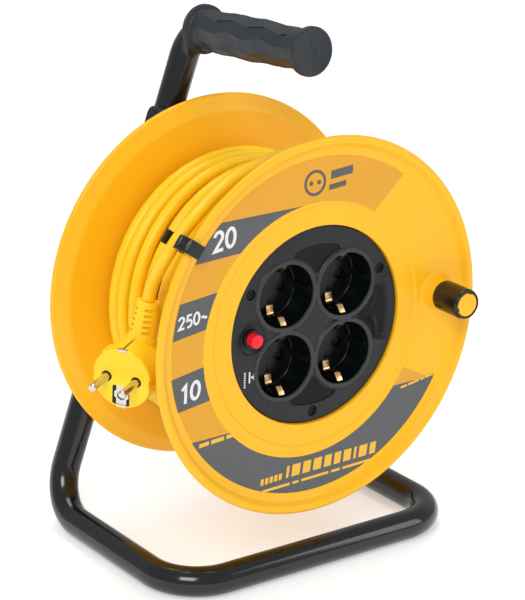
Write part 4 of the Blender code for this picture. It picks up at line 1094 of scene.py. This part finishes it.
def make_boot(place):
    """The strain relief: a tapered sleeve with a collar and five rows of slots."""
    profile = rounded([(0, 0.1), (4.3, 0.1), (6.7, 0.1, 0.5), (6.8, 1.8, 0.5), (6.7, 2.6, 0.4), (8.2, 20.6, 1.0),
                       (8.5, BOOT_LENGTH + 1.5, 0.5), (0, BOOT_LENGTH + 1.5)], 4)
    boot = lathe("boot", profile, place, 72)
    cuts = []
    for row in range(5):
        low = 3.9 + 3.35 * row
        radius = 6.75 + low * 0.075
        for quarter in range(4):
            outline = rounded([(radius - 1.8, -2.9, 0.6), (radius + 3, -2.9), (radius + 3, 2.9),
                               (radius - 1.8, 2.9, 0.6)], 3)
            cuts.append(slab("slot", outline, low, low + 1.55, place @ spin(90 * quarter + BOOT_TURN)))
    carve(boot, cuts)
    return dress(boot, PLUG, "drum", "plug_yellow", "plug_boot")


def hull(name, rings, place):
    """The convex solid round a set of rings, each (radius, z, frame)."""
    bm = bmesh.new()
    for radius, z, frame_of_ring in rings:
        for x, y in arc(radius, 0, 354, 59):
            bm.verts.new(frame_of_ring @ Vector((x, y, z)))
    made = bmesh.ops.convex_hull(bm, input=bm.verts)
    loose = [v for v in made["geom_interior"] + made["geom_unused"] if isinstance(v, bmesh.types.BMVert)]
    bmesh.ops.delete(bm, geom=list(set(loose)), context="VERTS")
    return finish_mesh(bm, name, place)


def make_plug_body(place, boot):
    """The moulded body: a round front, a neck up into the boot, side grips, a contact groove and guide notches."""
    own = Matrix.Identity(4)
    to_plug = place.inverted() @ boot
    front = [(PLUG_RADIUS - 0.5, -0.1), (PLUG_RADIUS, -0.9), (PLUG_RADIUS, -18), (17.6, -21.5), (14.8, -26.5),
             (9.5, -30.0)]
    body = hull("plug_shell", [(radius, z, own) for radius, z in front], place)
    neck = hull("neck", [(8.6, BOOT_LENGTH - 0.3, to_plug), (9.2, BOOT_LENGTH + 2.2, to_plug),
                         (10.6, BOOT_LENGTH + 9.0, to_plug)], place)
    parts = [neck]
    for side in (-1, 1):
        low, high = sorted((side * 12.0, side * 19.6))
        parts.append(slab("side_grip", rectangle(low, -9.5, high, 9.0, 1.5), -23.5, -14.0, place))
    data = body.data
    bm = bmesh.new()
    bm.from_mesh(data)
    for part in parts:
        bm.from_mesh(part.data)
        bpy.data.objects.remove(part, do_unlink=True)
    bm.to_mesh(data)
    bm.free()
    step = body.modifiers.new("remesh", "REMESH")
    step.mode = "VOXEL"
    step.voxel_size = 0.5 * MM
    smooth = body.modifiers.new("smooth", "SMOOTH")
    smooth.factor = 0.5
    smooth.iterations = 5
    settle(body, 60)
    cuts = [box("groove", (-0.8, 17.0, -20), (0.8, 26, -2), place),
            box("seat", (-3.1, 16.9, -2.6), (3.1, 21, 1), place),
            box("notch", (-3.1, -21, -15), (3.1, -17.6, 1), place),
            slab("window", rectangle(-5.6, -16.9, 5.6, -4.6, 1.2), -9, 1, place)]
    for side in (-1, 1):
        low, high = sorted((side * 17.6, side * 21))
        cuts.append(box("guide", (low, -2.7, -14.5), (high, 2.7, 1), place))
        cuts.append(disc("socket", 3.3, 1, -6, place @ shift(side * PIN_OFFSET)))
    carve(body, cuts, sharp=40)
    return dress(body, PLUG, "drum", "plug_yellow", "plug_body")


def make_plug_metal(place):
    """Pins with their dark collars, the window's insert and plate, and the two edge contacts."""
    pieces = []
    for side, name in ((-1, "left"), (1, "right")):
        at = place @ shift(side * PIN_OFFSET)
        pin = rounded([(0, 19), (2.38, 18.9, 2.0), (2.4, -5), (0, -5)], 8)
        pieces.append(dress(lathe(f"pin_{name}", pin, at, 48), NICKEL, "drum", "plug_nickel", f"plug_pin_{name}"))
        collar = rounded([(2.45, 0.1, 0.2), (3.25, 0.1, 0.2), (3.25, -5.5), (2.45, -5.5)])
        pieces.append(dress(lathe(f"pin_collar_{name}", collar, at, 48), BLACK, "drum", "black_moulding"))
    insert = slab("window_insert", rectangle(-5.5, -16.8, 5.5, -4.7, 1.1), -8.8, -0.5, place)
    carve(insert, [box("seat", (-3.4, -20, -1.6), (3.4, -2, 1), place),
                   box("side", (-4.9, -13.2, -2.4), (4.9, -8.0, 1), place)])
    pieces.append(dress(insert, BLACK, "drum", "black_moulding"))
    plate_outline = rounded([(-3.3, -16.7), (3.3, -16.7), (3.3, -13.0, 0.4), (4.6, -12.4, 0.4), (4.6, -8.8, 0.4),
                             (3.3, -8.2, 0.4), (3.3, -4.9), (-3.3, -4.9), (-3.3, -8.2, 0.4), (-4.6, -8.8, 0.4),
                             (-4.6, -12.4, 0.4), (-3.3, -13.0, 0.4)])
    plate = slab("window_plate", plate_outline, -2.6, -0.7, place)
    carve(plate, [disc("bore", 2.5, 2, -6, place @ shift(0, -11))])
    pieces.append(dress(plate, NICKEL, "drum", "plug_nickel", "plug_earth_socket"))
    sleeve = rounded([(2.5, -0.3, 0.15), (3.0, -0.3, 0.15), (3.0, -8.4), (2.5, -8.4)])
    pieces.append(dress(lathe("window_sleeve", sleeve, place @ shift(0, -11), 40), NICKEL, "drum",
                        "plug_nickel"))
    for name, side, node in (("top", 1, "plug_earth_top"), ("bottom", -1, "plug_earth_bottom")):
        low, high = sorted((side * 17.1, side * 18.45))
        foot = box(f"edge_contact_{name}", (-2.9, low, -2.4), (2.9, high, -0.1), place)
        strip_low, strip_high = sorted((side * 17.2, side * 18.4))
        strip = box("strip", (-1.2, strip_low, -14), (1.2, strip_high, -2), place)
        carve(foot, [strip], "UNION")
        soften(foot, 0.25, 2)
        pieces.append(dress(foot, NICKEL, "drum", "plug_nickel", node))
    return pieces


def make_plug():
    place, boot_place = plug_frame(), boot_frame()
    boot = make_boot(boot_place)
    body = make_plug_body(place, boot_place)
    return [boot, body] + make_plug_metal(place)


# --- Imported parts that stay

KEPT = {
    "spindle": STEEL, "retaining_ring": STEEL, "spindle_bush": NYLON, "thrust_washer": STEEL, "drum_core": BLACK,
    "live_busbar": BRASS, "neutral_busbar": BRASS, "earth_link": BRASS, "contact_carrier": BLACK,
    "carrier_screw_1": STEEL, "carrier_screw_2": STEEL, "thermal_cutout": BLACK, "inner_lead": CORD,
    "cord_clamp": BLACK, "clamp_screw_1": STEEL, "clamp_screw_2": STEEL, "wire_live": BROWN, "wire_cutout": BROWN,
    "wire_neutral": BLUE, "wire_earth": GREEN, "knob_pin": STEEL,
}


def dress_kept_nodes():
    """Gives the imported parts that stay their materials."""
    for node, material in KEPT.items():
        data = frame["nodes"][node].data
        data.materials.clear()
        data.materials.append(material)


# --- Assembly

make_camera()
cord, cord_route = make_cord()
plug_pieces = make_plug()
make_studio()
make_stand()
make_front_flange()
make_rear_flange()
make_panel()
make_label()
make_panel_icon()
make_knob()
make_button()
make_clip()
dress_kept_nodes()
